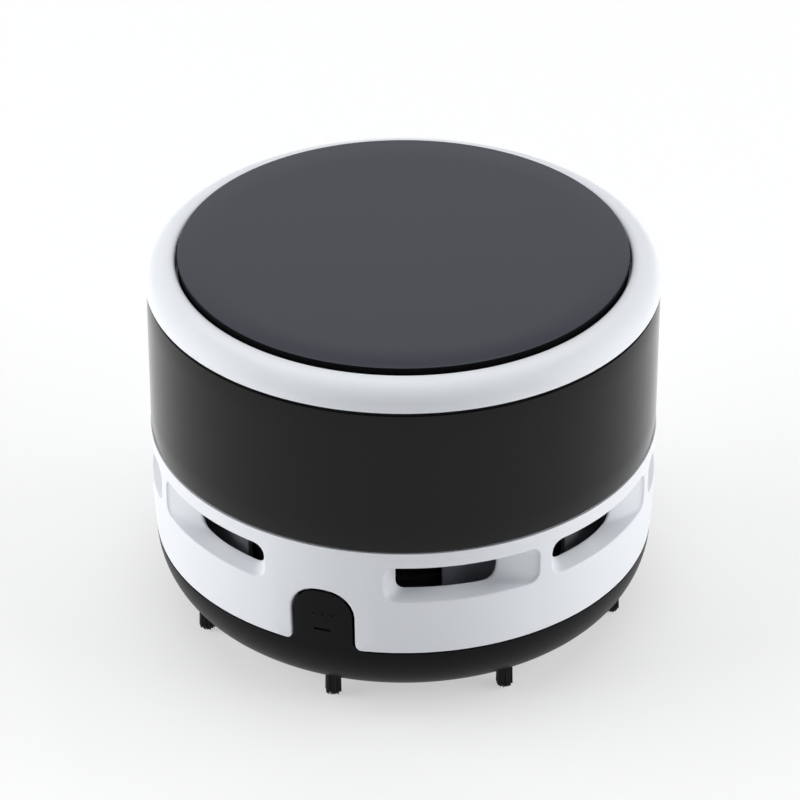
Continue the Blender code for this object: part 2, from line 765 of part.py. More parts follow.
def make_band_shell(colour, parent):
    """The glossy upper casing, which slides over the shell's lip."""
    edge = SEAM_GAP
    profile = [
        (band_inner_radius, band_foot_z),
        (band_radius - edge, band_foot_z),
        (band_radius, band_foot_z + edge),
        (band_radius, band_rim_z - edge),
        (band_radius - edge, band_rim_z),
        (band_inner_radius, band_rim_z),
    ]
    make_object("band_shell", turned(profile, OUTER_SEGMENTS), colour, tray_hinge, parent)


def make_top_ring(colour, parent):
    """The white lid: a crowned rim, a skirt inside the band and a floor under the press disc."""
    skirt_inner = ring_skirt_radius - RING_SKIRT_WALL
    skirt_z = ring_floor_z - RING_SKIRT_DEPTH
    crown_foot_z = ring_foot_z + RING_EDGE
    crown = arc(
        (ring_opening_radius, crown_foot_z),
        (ring_radius - ring_opening_radius, crown_z - crown_foot_z),
        0,
        90,
        CROWN_STEPS,
    )
    profile = [
        (STEM_HOLE_RADIUS, ring_floor_z),
        (skirt_inner, ring_floor_z),
        (skirt_inner, skirt_z),
        (ring_skirt_radius, skirt_z),
        (ring_skirt_radius, ring_foot_z),
        (ring_radius - RING_EDGE, ring_foot_z),
    ]
    profile += crown + [(ring_opening_radius, ring_floor_top_z), (STEM_HOLE_RADIUS, ring_floor_top_z)]
    ring = make_object("top_ring", turned(profile, OUTER_SEGMENTS), colour, (0, 0, ring_seam_z), parent)
    slots = []
    for angle in leg_angles():
        slot = block(
            (
                -LEG_WIDTH / 2 - LEG_SLOT_ROOM,
                -leg_pitch_radius - LEG_THICKNESS / 2 - LEG_SLOT_ROOM,
                ring_floor_z - OVERCUT,
            ),
            (
                LEG_WIDTH / 2 + LEG_SLOT_ROOM,
                -leg_pitch_radius + LEG_THICKNESS / 2 + LEG_SLOT_ROOM,
                ring_floor_top_z + OVERCUT,
            ),
        )
        slots.append(turn_about_z(slot, angle))
    combine(ring, "DIFFERENCE", make_guide("leg_slot_cutter", merged(slots)))


def leg_angles():
    return [2 * math.pi * (index + 0.5) / LEG_COUNT for index in range(LEG_COUNT)]


def make_power_disc(colour, parent):
    """The press button: a flat disc with a short skirt, a stem for the switch and barbed legs."""
    profile = [
        (0, disc_top_z),
        (disc_radius - DISC_CHAMFER, disc_top_z),
        (disc_radius, disc_top_z - DISC_CHAMFER),
        (disc_radius, disc_skirt_z),
        (disc_radius - DISC_SKIRT_WALL, disc_skirt_z),
        (disc_radius - DISC_SKIRT_WALL, disc_z),
        (STEM_RADIUS, disc_z),
        (STEM_RADIUS, stem_foot_z),
        (0, stem_foot_z),
    ]
    disc = make_object("power_disc", turned(profile, OUTER_SEGMENTS), colour, (0, 0, disc_z), parent)
    barb_top_z = ring_floor_z - SEAT_GAP
    legs = []
    for angle in leg_angles():
        outer = -leg_pitch_radius - LEG_THICKNESS / 2
        inner = -leg_pitch_radius + LEG_THICKNESS / 2
        outline = [
            (inner, disc_z + DISC_THICKNESS / 2),
            (outer, disc_z + DISC_THICKNESS / 2),
            (outer, barb_top_z),
            (outer - LEG_BARB, barb_top_z),
            (outer, barb_top_z - LEG_BARB_HEIGHT),
            (inner, barb_top_z - LEG_BARB_HEIGHT),
        ]
        leg = bmesh.new()
        face = leg.faces.new([leg.verts.new((-LEG_WIDTH / 2, y, z)) for y, z in outline])
        grown = bmesh.ops.extrude_face_region(leg, geom=[face])["geom"]
        far = [item for item in grown if isinstance(item, bmesh.types.BMVert)]
        bmesh.ops.translate(leg, verts=far, vec=(LEG_WIDTH, 0, 0))
        legs.append(turn_about_z(leg, angle))
    combine(disc, "UNION", make_guide("disc_leg_shape", merged(legs)))


def make_fan_housing(colour, parent):
    """The deck that carries the motor, with the windowed shroud that hangs round the impeller."""
    profile = [
        (MOTOR_BOSS_RADIUS + SEAT_GAP, deck_z),
        (shroud_inner_radius, deck_z),
        (shroud_inner_radius, shroud_foot_z),
        (shroud_radius, shroud_foot_z),
        (shroud_radius, deck_z),
        (deck_radius, deck_z),
        (deck_radius, deck_top_z),
        (MOTOR_BOSS_RADIUS + SEAT_GAP, deck_top_z),
    ]
    housing = make_object("fan_housing", turned(profile, INNER_SEGMENTS), colour, tray_hinge, parent)
    windows = [
        sector(
            shroud_inner_radius - OVERCUT,
            shroud_radius + OVERCUT,
            shroud_foot_z + WINDOW_RISE,
            shroud_foot_z + WINDOW_RISE + WINDOW_HEIGHT,
            side * (start + WINDOW_SPAN / 2),
            WINDOW_SPAN,
        )
        for side in (1, -1)
        for start in vent_starts()
    ]
    combine(housing, "DIFFERENCE", make_guide("window_cutter", merged(windows)))
    holes = [
        rod(
            DECK_SCREW_RADIUS + BORE_GAP,
            deck_z - OVERCUT,
            deck_top_z + OVERCUT,
            on_circle(deck_screw_pitch_radius, angle),
            SCREW_SEGMENTS,
        )
        for angle in deck_screw_angles()
    ]
    for side in (1, -1):
        place = (side * MOTOR_SCREW_OFFSET, 0)
        holes.append(
            rod(MOTOR_SCREW_RADIUS + BORE_GAP, deck_z - OVERCUT, deck_top_z + OVERCUT, place, SCREW_SEGMENTS)
        )
    combine(housing, "DIFFERENCE", make_guide("deck_hole_cutter", merged(holes)))


def make_inlet_plate(colour, parent):
    """The floor of the fan chamber: a lipped eye in the middle and a spigot inside the shroud."""
    spigot = shroud_inner_radius - SEAT_GAP
    lip = INLET_SPIGOT_WALL / 2
    profile = [
        (INLET_EYE_RADIUS, inlet_z),
        (shroud_radius, inlet_z),
        (shroud_radius, inlet_top_z),
        (spigot, inlet_top_z),
        (spigot, inlet_top_z + INLET_SPIGOT_HEIGHT),
        (spigot - INLET_SPIGOT_WALL, inlet_top_z + INLET_SPIGOT_HEIGHT),
        (spigot - INLET_SPIGOT_WALL, inlet_top_z),
        (INLET_EYE_RADIUS + 2 * lip, inlet_top_z),
        (INLET_EYE_RADIUS + lip, inlet_top_z + lip),
        (INLET_EYE_RADIUS, inlet_top_z + lip),
    ]
    make_object("inlet_plate", turned(profile, INNER_SEGMENTS), colour, (0, 0, inlet_z), parent)


def make_filter(frame_colour, mesh_colour, parent):
    """The filter frame, a rim crossed by two bars, and the fine mesh that lies on the bars."""
    inner = filter_radius - FILTER_RIM
    profile = [
        (inner, filter_z),
        (filter_radius, filter_z),
        (filter_radius, filter_top_z),
        (inner, filter_top_z),
    ]
    frame = make_object("filter_frame", turned(profile, INNER_SEGMENTS), frame_colour, (0, 0, filter_z), parent)
    reach = inner + FILTER_RIM / 2
    half = FILTER_BAR_WIDTH / 2
    low = filter_z + FACE_STEP
    high = filter_z + FILTER_BAR_HEIGHT
    cross = [(half, half), (half, reach), (-half, reach), (-half, half)]
    cross += [(-reach, half), (-reach, -half), (-half, -half), (-half, -reach)]
    cross += [(half, -reach), (half, -half), (reach, -half), (reach, half)]
    combine(frame, "UNION", make_guide("filter_bar_shape", prism(cross, low, high, "Z")))
    mesh_z = high + SEAT_GAP
    sheet = rod(inner - SEAT_GAP, mesh_z, mesh_z + MESH_THICKNESS, (0, 0), INNER_SEGMENTS)
    make_object("filter_mesh", sheet, mesh_colour, (0, 0, mesh_z), parent)


def make_impeller(colour, steel, parent):
    """A backplate with a hub and backward-curved blades below it, on the motor's shaft."""
    plate_z = impeller_top_z - IMPELLER_PLATE
    bore = SHAFT_RADIUS + BORE_GAP
    nose_z = impeller_z + IMPELLER_HUB_RADIUS / 4
    profile = [
        (0, impeller_z),
        (IMPELLER_HUB_RADIUS / 2, impeller_z),
        (IMPELLER_HUB_RADIUS, nose_z),
        (IMPELLER_HUB_RADIUS, plate_z),
        (impeller_radius, plate_z),
        (impeller_radius, impeller_top_z),
        (bore, impeller_top_z),
        (bore, nose_z),
        (0, nose_z),
    ]
    impeller = make_object(
        "impeller", turned(profile, INNER_SEGMENTS), colour, (0, 0, impeller_z), parent
    )
    blades = []
    for index in range(BLADE_COUNT):
        outline = []
        for face_side, order in ((1, 1), (-1, -1)):
            shares = [step / BLADE_STEPS for step in range(BLADE_STEPS + 1)][::order]
            for share in shares:
                radius = BLADE_INNER_RADIUS + (impeller_radius - BLADE_INNER_RADIUS) * share
                radius -= SEAT_GAP * share
                angle = BLADE_SWEEP * math.sqrt(share) + face_side * BLADE_THICKNESS / 2 / radius
                outline.append((radius * math.cos(angle), radius * math.sin(angle)))
        blade = prism(outline, impeller_z + SEAT_GAP, plate_z + IMPELLER_PLATE / 2, "Z")
        blades.append(turn_about_z(blade, 2 * math.pi * index / BLADE_COUNT))
    combine(impeller, "UNION", make_guide("blade_shape", merged(blades)))
    shaft = rod(SHAFT_RADIUS, nose_z + SEAT_GAP, motor_z + SHAFT_REACH)
    make_object("motor_shaft", shaft, steel, (0, 0, motor_z), parent)


def make_motor(steel, plastic_cap, brass, parent):
    """A round can motor: steel can with its bearing boss below, end cap and two terminals above."""
    boss_z = deck_z + SEAT_GAP
    bore = SHAFT_RADIUS + BORE_GAP
    bore_top_z = motor_z + SHAFT_REACH + SEAT_GAP
    profile = [
        (0, bore_top_z),
        (bore, bore_top_z),
        (bore, boss_z),
        (MOTOR_BOSS_RADIUS, boss_z),
        (MOTOR_BOSS_RADIUS, motor_z),
        (MOTOR_RADIUS - MOTOR_EDGE, motor_z),
        (MOTOR_RADIUS, motor_z + MOTOR_EDGE),
        (MOTOR_RADIUS, motor_top_z - MOTOR_EDGE / 2),
        (MOTOR_RADIUS - MOTOR_EDGE / 2, motor_top_z),
        (0, motor_top_z),
    ]
    can = make_object("motor_can", turned(profile, INNER_SEGMENTS), steel, (0, 0, motor_z), parent)
    holes = [
        rod(
            MOTOR_SCREW_RADIUS + BORE_GAP,
            motor_z - OVERCUT,
            motor_z + MOTOR_SCREW_BITE + SEAT_GAP,
            (side * MOTOR_SCREW_OFFSET, 0),
            SCREW_SEGMENTS,
        )
        for side in (1, -1)
    ]
    combine(can, "DIFFERENCE", make_guide("motor_hole_cutter", merged(holes)))
    cap = rod(MOTOR_CAP_RADIUS, motor_cap_z, motor_cap_top_z, (0, 0), INNER_SEGMENTS)
    make_object("motor_end_cap", cap, plastic_cap, (0, 0, motor_cap_z), parent)
    for name, side in (("motor_terminal_1", 1), ("motor_terminal_2", -1)):
        foot_z = motor_cap_top_z + SEAT_GAP
        low = (side * TERMINAL_OFFSET - TERMINAL_THICKNESS / 2, -TERMINAL_WIDTH / 2, foot_z)
        high = (side * TERMINAL_OFFSET + TERMINAL_THICKNESS / 2, TERMINAL_WIDTH / 2, foot_z + TERMINAL_HEIGHT)
        make_object(name, block(low, high), brass, (side * TERMINAL_OFFSET, 0, foot_z), parent)


def make_battery_tray(colour, parent):
    """The tray over the deck: cradle walls for two cells, contact walls and the switch's bridge."""
    profile = [
        (MOTOR_RADIUS + 2 * SEAT_GAP, battery_floor_z),
        (battery_tray_radius, battery_floor_z),
        (battery_tray_radius, battery_floor_top_z),
        (MOTOR_RADIUS + 2 * SEAT_GAP, battery_floor_top_z),
    ]
    tray = make_object("battery_tray", turned(profile, INNER_SEGMENTS), colour, (0, 0, battery_floor_z), parent)
    root_z = battery_floor_z + BATTERY_TRAY_FLOOR / 2
    inner_face = cell_offset - CELL_RADIUS - SEAT_GAP
    outer_face = cell_offset + CELL_RADIUS + SEAT_GAP
    wall_x = contact_x + CONTACT_THICKNESS + 2 * SEAT_GAP
    cradle_top_z = battery_floor_top_z + CRADLE_HEIGHT
    outer_reach = math.sqrt(battery_tray_radius**2 - (outer_face + CRADLE_WALL) ** 2) - CRADLE_WALL
    contact_reach = cell_offset + CONTACT_WIDTH / 2 - SEAT_GAP
    walls = []
    for side in (1, -1):
        spans = sorted((side * inner_face, side * (inner_face - CRADLE_WALL)))
        inner_x = contact_x - 2 * SEAT_GAP
        walls.append(((-inner_x, spans[0], root_z), (inner_x, spans[1], cradle_top_z)))
        spans = sorted((side * outer_face, side * (outer_face + CRADLE_WALL)))
        walls.append(((-outer_reach, spans[0], root_z), (outer_reach, spans[1], cradle_top_z)))
        for end in (1, -1):
            ends = sorted((end * wall_x, end * (wall_x + CRADLE_WALL)))
            spans = sorted((side * (inner_face - CRADLE_WALL), side * contact_reach))
            walls.append(
                ((ends[0], spans[0], root_z), (ends[1], spans[1], battery_floor_top_z + CONTACT_WALL_HEIGHT))
            )
    combine(tray, "UNION", make_guide("cradle_shape", merged([block(low, high) for low, high in walls])))
    half = BRIDGE_WIDTH / 2
    leg_face = inner_face - FACE_STEP
    bridge_outline = [
        (-leg_face, battery_floor_top_z - BATTERY_TRAY_FLOOR / 3),
        (-leg_face, bridge_top_z),
        (leg_face, bridge_top_z),
        (leg_face, battery_floor_top_z - BATTERY_TRAY_FLOOR / 3),
        (leg_face - BRIDGE_LEG_THICKNESS, battery_floor_top_z - BATTERY_TRAY_FLOOR / 3),
        (leg_face - BRIDGE_LEG_THICKNESS, bridge_z),
        (BRIDGE_LEG_THICKNESS - leg_face, bridge_z),
        (BRIDGE_LEG_THICKNESS - leg_face, battery_floor_top_z - BATTERY_TRAY_FLOOR / 3),
    ]
    bridge = prism(bridge_outline, -half, half, "Y")
    combine(tray, "UNION", make_guide("bridge_shape", turn_about_z(bridge, math.pi / 2)))
    holes = [
        rod(
            DECK_SCREW_RADIUS + BORE_GAP,
            battery_floor_z - OVERCUT,
            battery_floor_top_z + OVERCUT,
            on_circle(deck_screw_pitch_radius, angle),
            SCREW_SEGMENTS,
        )
        for angle in deck_screw_angles()
    ]
    combine(tray, "DIFFERENCE", make_guide("tray_hole_cutter", merged(holes)))


def make_cells(sleeve, parent):
    """Two cells side by side, nose to tail."""
    nub_z = CELL_LENGTH + CELL_NUB_LENGTH
    profile = [
        (0, 0),
        (CELL_RADIUS - CELL_EDGE, 0),
        (CELL_RADIUS, CELL_EDGE),
        (CELL_RADIUS, CELL_LENGTH - CELL_EDGE),
        (CELL_RADIUS - CELL_EDGE, CELL_LENGTH),
        (CELL_NUB_RADIUS, CELL_LENGTH),
        (CELL_NUB_RADIUS, nub_z),
        (0, nub_z),
    ]
    tail_x = SPRING_ROOM - contact_x
    for index, side in enumerate((1, -1)):
        cell = make_object(f"battery_cell_{index + 1}", turned(profile, CELL_SEGMENTS), sleeve)
        cell.parent = parent
        place = Vector((side * tail_x, side * cell_offset, cell_axis_z))
        cell.location = place - parent_place(parent)
        cell.rotation_euler = (0, side * math.pi / 2, 0)


def make_contacts(spring_steel, parent):
    """A link plate joins the cells at -X, two single plates take the leads at +X."""
    foot_z = battery_floor_top_z + SEAT_GAP
    half = CONTACT_WIDTH / 2
    top_z = foot_z + CONTACT_HEIGHT
    plates = [
        ("contact_link", -1, -cell_offset - half, cell_offset + half),
        ("contact_positive", 1, cell_offset - half, cell_offset + half),
        ("contact_negative", 1, -cell_offset - half, half - cell_offset),
    ]
    for name, end, low_y, high_y in plates:
        ends = sorted((end * contact_x, end * (contact_x + CONTACT_THICKNESS)))
        plate = block((ends[0], low_y, foot_z), (ends[1], high_y, top_z))
        make_object(name, plate, spring_steel, (end * contact_x, (low_y + high_y) / 2, foot_z), parent)
    for index, side in enumerate((1, -1)):
        spring = make_spring(f"contact_spring_{index + 1}", spring_steel)
        spring.parent = parent
        place = Vector((-side * (contact_x - SEAT_GAP), side * cell_offset, cell_axis_z))
        spring.location = place - parent_place(parent)
        spring.rotation_euler = (0, side * math.pi / 2, 0)


def make_spring(name, steel):
    """A conical contact spring that stands on its wide end, along its own +Z."""
    rise = SPRING_ROOM - 2 * SEAT_GAP - 2 * SPRING_WIRE_RADIUS
    count = round(SPRING_CURLS * SPRING_POINTS_PER_CURL)
    points = []
    for step in range(count + 1):
        share = step / count
        turn = 2 * math.pi * SPRING_CURLS * share
        radius = SPRING_WIDE_RADIUS + (SPRING_NARROW_RADIUS - SPRING_WIDE_RADIUS) * share
        points.append(
            Vector((radius * math.cos(turn), radius * math.sin(turn), SPRING_WIRE_RADIUS + rise * share))
        )
    apart = SPRING_POINTS_PER_CURL // 2
    least = min(
        (points[first] - points[second]).length
        for first in range(len(points))
        for second in range(first + apart, len(points))
    )
    print(f"{name}: least gap of the wire to itself {(least - 2 * SPRING_WIRE_RADIUS) * 1000:.2f} mm")
    return make_tube(name, points, SPRING_WIRE_RADIUS, steel, 1)


def make_tube(name, points, radius, colour, resolution):
    data = bpy.data.curves.new(name, "CURVE")
    data.dimensions = "3D"
    data.bevel_depth = radius
    data.bevel_resolution = resolution
    data.use_fill_caps = True
    spline = data.splines.new("POLY")
    spline.points.add(len(points) - 1)
    for slot, point in zip(spline.points, points):
        slot.co = (*point, 1)
    data.materials.append(colour)
    return link_object(name, data, (0, 0, 0))


def make_switch(body_colour, plunger_colour, housing_pivot, plunger_pivot):
    """A push switch on the bridge, with its plunger under the disc's stem."""
    half = SWITCH_SIZE / 2
    body = block((-half, -half, switch_z), (half, half, switch_top_z))
    switch = make_object("switch_body", body, body_colour, (0, 0, switch_z), housing_pivot)
    bore_z = switch_z + BRIDGE_THICKNESS / 2
    bore = rod(PLUNGER_RADIUS + BORE_GAP, bore_z, switch_top_z + OVERCUT)
    combine(switch, "DIFFERENCE", make_guide("switch_bore_cutter", bore))
    plunger_z = bore_z + PRESS_TRAVEL + SEAT_GAP
    plunger = rod(PLUNGER_RADIUS, plunger_z, plunger_top_z)
    make_object("switch_plunger", plunger, plunger_colour, (0, 0, plunger_z), plunger_pivot)


def make_screws(steel, parent):
    """Four screws clamp tray and deck to the shell's shelf; two hold the motor from below."""
    for index, angle in enumerate(deck_screw_angles()):
        head_z = battery_floor_top_z + SEAT_GAP
        profile = screw_profile(DECK_SCREW_RADIUS, shelf_top_z - DECK_SCREW_BITE - head_z)
        place = (*on_circle(deck_screw_pitch_radius, angle), head_z)
        screw = make_object(f"deck_screw_{index + 1}", turned(profile, SCREW_SEGMENTS), steel)
        screw.parent = parent
        screw.location = Vector(place) - parent_place(parent)
    for index, side in enumerate((1, -1)):
        head_z = deck_z - SEAT_GAP
        profile = screw_profile(MOTOR_SCREW_RADIUS, head_z - motor_z - MOTOR_SCREW_BITE)
        screw = make_object(f"motor_screw_{index + 1}", turned(profile, SCREW_SEGMENTS), steel)
        screw.parent = parent
        screw.location = Vector((side * MOTOR_SCREW_OFFSET, 0, head_z)) - parent_place(parent)
        screw.rotation_euler = (math.pi, 0, 0)


def screw_profile(radius, foot_z):
    """A pan head above zero and a plain shank down to the foot."""
    return [
        (0, foot_z),
        (radius, foot_z),
        (radius, 0),
        (SCREW_HEAD_RADIUS, 0),
        (SCREW_HEAD_RADIUS, SCREW_HEAD_HEIGHT / 2),
        (SCREW_HEAD_RADIUS / 2, SCREW_HEAD_HEIGHT),
        (0, SCREW_HEAD_HEIGHT),
    ]


def smooth_route(points, spacing):
    """Points at even steps on a smooth curve through the route's own points."""
    route = [Vector(point) for point in points]
    padded = [2 * route[0] - route[1]] + route + [2 * route[-1] - route[-2]]
    fine = []
    for index in range(len(route) - 1):
        before, here, there, after = padded[index : index + 4]
        for step in range(16):
            t = step / 16
            fine.append(
                here
                + (there - before) * (t / 2)
                + (2 * before - 5 * here + 4 * there - after) * (t * t / 2)
                + (3 * here - before - 3 * there + after) * (t * t * t / 2)
            )
    fine.append(route[-1])
    kept = [fine[0]]
    for point in fine[1:-1]:
        if (point - kept[-1]).length >= spacing and (point - fine[-1]).length >= spacing / 2:
            kept.append(point)
    return kept + [fine[-1]]


def make_leads(red, black, parent):
    """Three leads: cell to switch, switch to motor, motor back to the other cell."""
    plate_x = contact_x + CONTACT_THICKNESS / 2
    plate_z = battery_floor_top_z + 2 * SEAT_GAP + CONTACT_HEIGHT
    over_z = cell_axis_z + CELL_RADIUS + 2 * LEAD_RADIUS + 2 * SEAT_GAP
    side_x = SWITCH_SIZE / 2 + SEAT_GAP
    offset = SWITCH_SIZE / 5
    terminal_z = motor_cap_top_z + 2 * SEAT_GAP + TERMINAL_HEIGHT
    high_z = switch_z + SWITCH_HEIGHT / 2
    routes = {
        "lead_cell_to_switch": (
            red,
            [
                (plate_x, cell_offset, plate_z),
                (plate_x, cell_offset, plate_z + 0.0020),
                (plate_x - 0.0005, cell_offset - 0.0006, over_z),
                (plate_x - 0.0030, cell_offset - 0.0030, over_z + 0.0008),
                (0.0200, 0.0140, over_z + 0.0010),
                (0.0130, 0.0070, high_z),
                (side_x + 0.0030, offset, high_z),
                (side_x, offset, high_z),
            ],
        ),
        "lead_switch_to_motor": (
            red,
            [
                (side_x, -offset, high_z),
                (side_x + 0.0020, -offset, high_z),
                (TERMINAL_OFFSET - 0.0004, -offset, high_z - 0.0008),
                (TERMINAL_OFFSET + 0.0002, -offset / 3, high_z - 0.0026),
                (TERMINAL_OFFSET, 0, terminal_z + 0.0012),
                (TERMINAL_OFFSET, 0, terminal_z),
            ],
        ),
        "lead_motor_to_cell": (
            black,
            [
                (-TERMINAL_OFFSET, 0, terminal_z),
                (-TERMINAL_OFFSET, 0, terminal_z + 0.0012),
                (-TERMINAL_OFFSET, -0.0020, over_z + 0.0010),
                (-0.0060, -0.0070, over_z + 0.0014),
                (0.0040, -0.0120, over_z + 0.0014),
                (0.0160, -0.0170, over_z + 0.0012),
                (plate_x - 0.0030, 0.0010 - cell_offset, over_z + 0.0006),
                (plate_x - 0.0004, -cell_offset, over_z),
                (plate_x, -cell_offset, plate_z + 0.0020),
                (plate_x, -cell_offset, plate_z),
            ],
        ),
    }
    for name, (colour, points) in routes.items():
        lead = make_tube(name, smooth_route(points, 5 * LEAD_RADIUS), LEAD_RADIUS, colour, 2)
        lead.parent = parent
        lead.location = -parent_place(parent)


def build():
    clear_scene()
    white = plastic("white_plastic", (0.78, 0.80, 0.83), 0.38)
    gloss_black = plastic("gloss_black_plastic", (0.014, 0.014, 0.016), 0.16)
    satin_black = plastic("satin_black_plastic", (0.060, 0.064, 0.073), 0.34)
    base_black = plastic("base_black_plastic", (0.016, 0.017, 0.020), 0.42)
    bristle_black = plastic("bristle_nylon", (0.010, 0.010, 0.011), 0.50)
    shroud_grey = plastic("shroud_grey_plastic", (0.028, 0.030, 0.034), 0.45)
    inner_black = plastic("inner_black_plastic", (0.020, 0.020, 0.022), 0.50)
    filter_white = plastic("filter_nylon", (0.62, 0.64, 0.66), 0.70)
    steel = plastic("steel", (0.55, 0.56, 0.58), 0.32, 1.0)
    brass = plastic("brass", (0.72, 0.52, 0.22), 0.35, 1.0)
    sleeve = plastic("cell_sleeve", (0.10, 0.22, 0.32), 0.35)
    red = plastic("red_lead", (0.45, 0.02, 0.02), 0.45)

    housing_pivot = make_pivot("housing_pivot", tray_hinge)
    tab_pivot = make_pivot("tab_pivot", tab_hinge)
    ring_pivot = make_pivot("ring_pivot", (0, 0, ring_seam_z), housing_pivot)
    disc_pivot = make_pivot("disc_pivot", (0, 0, disc_z), ring_pivot)
    plunger_pivot = make_pivot("plunger_pivot", (0, 0, switch_top_z), housing_pivot)
    fan_pivot = make_pivot("fan_pivot", (0, 0, impeller_z), housing_pivot)

    make_dust_tray(base_black)
    make_tufts(bristle_black)
    make_release_tab(base_black, tab_pivot)
    make_vent_shell(white, housing_pivot)
    make_band_shell(gloss_black, housing_pivot)
    make_fan_housing(shroud_grey, housing_pivot)
    make_inlet_plate(inner_black, housing_pivot)
    make_filter(inner_black, filter_white, housing_pivot)
    make_motor(steel, inner_black, brass, housing_pivot)
    make_battery_tray(inner_black, housing_pivot)
    make_cells(sleeve, housing_pivot)
    make_contacts(brass, housing_pivot)
    make_switch(inner_black, white, housing_pivot, plunger_pivot)
    make_screws(steel, housing_pivot)
    make_leads(red, inner_black, housing_pivot)
    make_impeller(inner_black, steel, fan_pivot)
    make_top_ring(white, ring_pivot)
    make_power_disc(satin_black, disc_pivot)


build()
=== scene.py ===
import json
import math
import random

import bmesh
import bpy
from mathutils import Matrix, Vector


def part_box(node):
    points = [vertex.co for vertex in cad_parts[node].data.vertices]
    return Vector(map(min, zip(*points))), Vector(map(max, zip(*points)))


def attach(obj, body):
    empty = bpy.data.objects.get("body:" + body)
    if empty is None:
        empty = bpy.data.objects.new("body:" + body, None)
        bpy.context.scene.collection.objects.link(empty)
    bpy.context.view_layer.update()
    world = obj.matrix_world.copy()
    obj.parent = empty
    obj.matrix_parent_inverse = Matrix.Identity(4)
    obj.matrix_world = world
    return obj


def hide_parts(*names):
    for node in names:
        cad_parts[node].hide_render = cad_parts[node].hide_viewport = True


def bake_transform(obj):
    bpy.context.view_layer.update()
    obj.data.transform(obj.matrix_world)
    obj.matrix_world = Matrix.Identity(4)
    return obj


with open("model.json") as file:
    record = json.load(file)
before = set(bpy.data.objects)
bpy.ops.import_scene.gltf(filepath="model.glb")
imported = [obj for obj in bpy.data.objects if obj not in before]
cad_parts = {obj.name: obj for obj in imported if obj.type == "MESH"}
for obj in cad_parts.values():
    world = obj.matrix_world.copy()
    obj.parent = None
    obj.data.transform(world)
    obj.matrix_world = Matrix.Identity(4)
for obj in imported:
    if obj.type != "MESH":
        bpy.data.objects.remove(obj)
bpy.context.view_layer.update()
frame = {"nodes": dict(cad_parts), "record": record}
mm = 0.001
seam = 0.3 * mm  # gap left between two casings
touch = 1e-6  # points nearer than this count as one
print("frame loaded:", len(frame["nodes"]), "nodes")

# Heights of the seams and faces, read from the solids
levels = {
    "underside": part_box("dust_tray")[0].z,
    "trayRim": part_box("release_tab")[0].z - seam,
    "shellFoot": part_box("vent_shell")[0].z,
    "lipTop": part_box("vent_shell")[1].z,
    "bandFoot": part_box("band_shell")[0].z,
    "bandRim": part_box("band_shell")[1].z,
    "crown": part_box("top_ring")[1].z,
    "discTop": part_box("power_disc")[1].z,
    "legFoot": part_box("power_disc")[0].z,
}

# Camera at the photograph's view
view = {
    "azimuth": 18.2,
    "pitch": 32.31,
    "place": (0.1905, -0.5794, 0.4210),
    "lens": 191.07,
    "sensor": 36.0,
    "nearClip": 0.05,
    "framePixels": 800,
    "axisPixel": 403.5,  # the column that the object's axis stands on
}


def addCamera():
    data = bpy.data.cameras.new("camera")
    data.lens = view["lens"]
    data.sensor_width = view["sensor"]
    data.shift_x = (view["framePixels"] / 2 - view["axisPixel"]) / view["framePixels"]
    data.clip_start = view["nearClip"]
    camera = bpy.data.objects.new("camera", data)
    bpy.context.scene.collection.objects.link(camera)
    camera.location = view["place"]
    camera.rotation_euler = (math.radians(90 - view["pitch"]), 0, math.radians(view["azimuth"]))
    bpy.context.scene.camera = camera


# Soft boxes of light round the object, in metres and watts
lamps = {
    "target": (0, 0, 0.035),
    "mirroredShare": 0.26,  # how much of the side boxes shows in gloss
    "left": {"place": (-0.94, -0.30, 0.38), "size": (0.95, 0.70), "power": 11.8},
    "right": {"place": (0.96, 0.26, 0.34), "size": (0.90, 0.70), "power": 10.9},
    "top": {"place": (-0.05, 0.28, 1.00), "size": (1.2, 0.9), "power": 5.7},
    "rear": {"place": (-0.45, 1.30, 0.74), "size": (1.5, 0.66), "power": 1.9},
}


def addLamp(name, lamp, share=1.0, mirrored=True):
    data = bpy.data.lights.new(name, "AREA")
    data.shape = "RECTANGLE"
    data.size, data.size_y = lamp["size"]
    data.energy = lamp["power"] * share
    light = bpy.data.objects.new(name, data)
    bpy.context.scene.collection.objects.link(light)
    light.location = lamp["place"]
    light.visible_camera = False
    light.visible_glossy = mirrored
    aim = Vector(lamps["target"]) - Vector(lamp["place"])
    light.rotation_euler = aim.to_track_quat("-Z", "Y").to_euler()


def addLamps():
    for side in ("left", "right"):
        # A strong box that doesn't glare on the disc, and a weak one that shows in gloss
        addLamp(side + "Box", lamps[side], 1 - lamps["mirroredShare"], mirrored=False)
        addLamp(side + "Glow", lamps[side], lamps["mirroredShare"])
    addLamp("topBox", lamps["top"])
    addLamp("rearBox", lamps["rear"])


def addNode(tree, kind, **values):
    node = tree.nodes.new(kind)
    for name, value in values.items():
        setattr(node, name, value)
    return node


def setInputs(node, values):
    for name, value in values.items():
        node.inputs[name].default_value = value


colourMix = {"first": 6, "second": 7, "result": 2}  # a Mix node's sockets for colours
backdrop = {"ambient": (0.12, 0.126, 0.138, 1), "seen": (1, 1, 1, 1)}


def addBackdrop():
    world = bpy.data.worlds.new("studio")
    bpy.context.scene.world = world
    world.use_nodes = True
    tree = world.node_tree
    path = addNode(tree, "ShaderNodeLightPath")
    mix = addNode(tree, "ShaderNodeMix", data_type="RGBA")
    setInputs(mix, {colourMix["first"]: backdrop["ambient"], colourMix["second"]: backdrop["seen"]})
    tree.links.new(path.outputs["Is Camera Ray"], mix.inputs[0])
    tree.links.new(mix.outputs[colourMix["result"]], tree.nodes["Background"].inputs["Color"])


